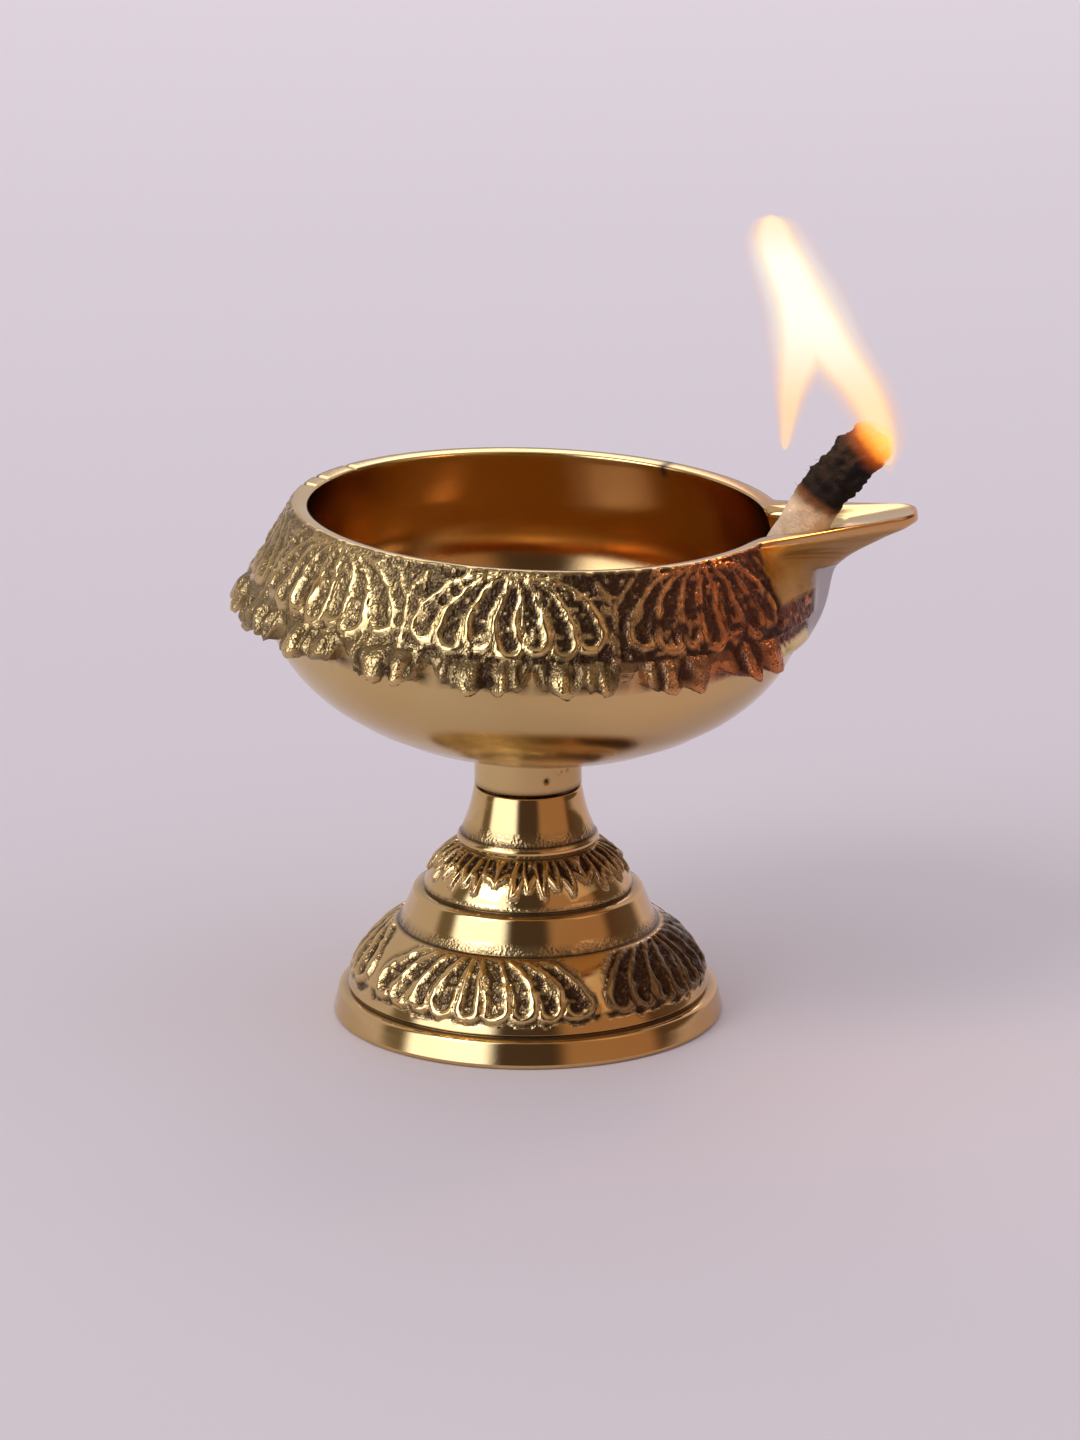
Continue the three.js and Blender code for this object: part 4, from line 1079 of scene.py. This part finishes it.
def tongue_rows(points, width, first, last):
    """Rows of one tongue, as wide as its share says, between two shares of its length."""
    line, across, half = tongue_line(points)
    keep = slice(int(first * (TONGUE_STEPS - 1)), int(last * (TONGUE_STEPS - 1)) + 1)
    line, across, half = line[keep], across[keep], half[keep] * width
    ends = np.linspace(0, 1, len(half))
    half = half * np.sqrt(np.clip(1 - (2 * ends - 1) ** 8, 0.05, 1))
    thick = np.minimum(HALF_THICK * width, 4 * half * HALF_THICK / FLAME_SIZE[0])
    turn = np.linspace(0, 2 * np.pi, 36, endpoint=False)
    x, z = (line[:, i, None] + across[:, i, None] * half[:, None] * np.cos(turn) for i in (0, 1))
    return np.stack([x, thick[:, None] * np.sin(turn) + 0 * x, z], axis=-1)


print("flame stands at, mm:", np.round(flame_corner, 2))

# %% Melt the skins
def faded_edge(places, width):
    """Share of the half width that each point keeps from the nearest tongue's edge."""
    best = np.full(len(places), 9.0)
    for points in (TALL, SHORT):
        line, across, half = tongue_line(points)
        gap = places[:, None, [0, 2]] - line[None]
        nearest = np.argmin((gap**2).sum(axis=2), axis=1)
        aside = np.abs((gap[np.arange(len(places)), nearest] * across[nearest]).sum(axis=1))
        best = np.minimum(best, aside / half[nearest])
    return 1 - np.clip(best / max(width, 1), 0, 1)


BOTH_TONGUES = 0.7


def flame_skin(name, width, first, last, voxel):
    """One closed skin made of the tall tongue and, unless it is narrow, the short one."""
    tongue = shell(name, tongue_rows(TALL, width, first, last), capped=True)
    if width > BOTH_TONGUES:
        short = shell(name, tongue_rows(SHORT, width, 0.02, 1.0), capped=True)
        with bpy.context.temp_override(active_object=tongue, selected_editable_objects=[tongue, short]):
            bpy.ops.object.join()
    melted = tongue.modifiers.new("melt", "REMESH")
    melted.mode = "VOXEL"
    melted.voxel_size = voxel * MM
    mesh = settled(tongue)
    places = np.array([v.co for v in mesh.vertices]) / MM
    mesh.shade_smooth()
    level = (places[:, 2] - flame_corner[1]) / FLAME_SIZE[1]
    paint(mesh, {"inward": faded_edge(places, width), "level": level})
    return mesh


def flame_finish(name, outside, edge_colour, middle_colour, clear, full):
    """A glow that goes from the edge's colour to the middle's, and from clear to full."""
    f = Finish(name)
    inward, level = f.painted("inward"), f.painted("level")
    streak = f.clouds(5, 1.0, f.stretched((1, 1, 0.3)))
    tinted_colour = f.blend(level.between(0.12, 0.62), f.blend(0.8, middle_colour, edge_colour), middle_colour)
    tinted_colour = f.blend(level.between(0.8, 1.0) * 0.6, tinted_colour, edge_colour)
    colour = f.blend(inward.between(outside, outside + 0.45), edge_colour, tinted_colour)
    lower = (level.between(-0.02, 0.4) * 0.65 + 0.35) * (1 - level.between(0.85, 1.0) * 0.5)
    alpha = (clear + inward.between(outside, outside + 0.55) * (full - clear)) * (0.85 + streak * 0.3) * lower
    dark = {"Base_Color": (0, 0, 0, 1), "Roughness": 1.0, "Specular_IOR_Level": 0.0}
    return f.finish(Emission_Color=colour, Emission_Strength=1.15, Alpha=alpha.clamped(), **dark)


# Name, width, first and last share of the length, voxel, colours at the edge and in the middle, alphas there
HALO = ("flame_halo", 1.5, 0.03, 0.99, 0.4, (1.0, 0.42, 0.20), (1.0, 0.95, 0.80), 0.0, 0.26)
VEIL = ("flame_veil", 1.0, 0.0, 1.0, 0.3, (1.0, 0.48, 0.22), (1.0, 0.86, 0.62), 0.03, 0.35)
CREAM = ("flame_cream", 0.88, 0.03, 0.985, 0.28, (1.0, 0.70, 0.30), (1.0, 1.0, 0.92), 0.04, 0.75)
CORE = ("flame_core", 0.68, 0.06, 0.95, 0.25, (1.0, 0.88, 0.42), (1.0, 1.0, 1.0), 0.1, 1.0)
for name, width, first, last, voxel, *look in (HALO, VEIL, CREAM, CORE):
    skin_mesh = flame_skin(name, width, first, last, voxel)
    skin = placed(name, skin_mesh)
    skin_mesh.materials.clear()
    skin_mesh.materials.append(flame_finish(name, max(1 - width, 0), *look))
    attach(skin, "wick")
    if name == "flame_veil":
        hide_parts("flame")
    print(name, "has", len(skin_mesh.polygons), "faces")

# %% [markdown]
# ## Floor and light
#
# The lamp stands on a plain pale floor that runs out of sight. Polished brass shows whatever is round it, and in
# the photograph that is a large bright window to the left, the dark room behind the camera and warm things to the
# right. The world's colour stands for that room: rays from the camera meet the plain pale background, and rays
# that brass reflects meet soft upright panels of light and dark on top of it.

# %% Floor
PALE_LILAC = (0.73, 0.66, 0.705)
floor_finish = Finish("pale_floor")
towards_back = floor_finish.node("ShaderNodeSeparateXYZ", {0: floor_finish.place}, out=1)
# Painted shade: the floor is darker towards the front and lighter towards the back.
floor_with_painted_shade = floor_finish.blend(towards_back.between(-0.4, 1.1), (0.66, 0.60, 0.665), (0.84, 0.775, 0.85))
floor_material = floor_finish.finish(Base_Color=floor_with_painted_shade, Roughness=0.9, Specular_IOR_Level=0.1)
HALF_FLOOR = 9.0  # metres
corners = [(x * HALF_FLOOR, y * HALF_FLOOR, 0) for x, y in ((-1, -1), (1, -1), (1, 1), (-1, 1))]
floor_mesh = bpy.data.meshes.new("floor")
floor_mesh.from_pydata(corners, [], [(0, 1, 2, 3)])
floor_mesh.materials.append(floor_material)
floor = placed("floor", floor_mesh)
print("floor is", 2 * HALF_FLOOR, "m wide")

# %% Room round the lamp
world = bpy.data.worlds.new("room")
bpy.context.scene.world = world
world.use_nodes = True
room = Graph(world.node_tree)
way = room.node("ShaderNodeTexCoord")
parts = room.node("ShaderNodeSeparateXYZ", {0: way})
split = parts.socket.node
east, north, above = (Wire(room, split.outputs[i]) for i in range(3))
facing = north.math("ARCTAN2", north, east) * (180 / math.pi) + 84
round_once = facing.math("WRAP", facing, 180.0, -180.0)
BROWN_WALL, WINDOW = (0.20, 0.16, 0.12), (2.1, 2.25, 2.8)
DARK_ROOM, WARM_WALL = (0.08, 0.055, 0.045), (0.44, 0.27, 0.17)
panels = [(-180, (0.62, 0.56, 0.58)), (-98, (0.62, 0.55, 0.58)), (-92, BROWN_WALL), (-78, BROWN_WALL)]
panels += [(-72, WINDOW), (-26, WINDOW), (-19, DARK_ROOM), (17, DARK_ROOM), (25, WARM_WALL), (76, WARM_WALL)]
panels += [(84, (0.11, 0.07, 0.045)), (118, (0.15, 0.12, 0.10))]
panels += [(130, (0.74, 0.67, 0.71)), (180, (0.66, 0.60, 0.63))]
stops = [((angle + 180) / 360, colour) for angle, colour in panels]
upright = room.stops((round_once + 180) / 360, stops)
overhead = room.blend(above.between(0.75, 0.98), upright, (0.55, 0.50, 0.46))
rays = room.node("ShaderNodeLightPath").socket.node
from_metal = Wire(room, rays.outputs["Is Glossy Ray"])
from_camera = Wire(room, rays.outputs["Is Camera Ray"])
plain = room.blend(from_camera, (0.66, 0.64, 0.65), PALE_LILAC)
seen = room.blend(from_metal, plain, overhead)
lit = room.node("ShaderNodeBackground", {"Color": seen, "Strength": 1.0})
room.node("ShaderNodeOutputWorld", {"Surface": lit})
print("room has", len(panels), "panels")

# %% Lamps of the studio
def soft_lamp(name, place, size, power, colour):
    """A square area light that looks at the lamp, in metres and watts."""
    light = bpy.data.lights.new(name, "AREA")
    light.size, light.energy, light.color = size, power, colour
    lamp = placed(name, light)
    lamp.location = place
    lamp.rotation_euler = (AIM - Vector(place)).to_track_quat("-Z", "Y").to_euler()


AIM = Vector((0, 0, 0.04))
soft_lamp("window", (-0.9, -0.9, 1.1), 0.7, 7.0, (1.0, 0.97, 0.93))
soft_lamp("bounce", (0.9, -0.2, 0.9), 0.8, 0.6, (1.0, 0.93, 0.84))
soft_lamp("back", (-0.1, 1.1, 0.9), 0.6, 2.0, (1.0, 0.98, 1.0))
candle = bpy.data.lights.new("candle", "POINT")
candle.energy, candle.color, candle.shadow_soft_size = 0.02, (1.0, 0.5, 0.2), 0.005
placed("candle", candle).location = (0.033, -0.006, 0.084)

# %% [markdown]
# ## The end
#
# The picture is shown without any film look, so a colour renders as it is written.

# %% Show colours as they are written
bpy.context.scene.view_settings.view_transform = "Standard"
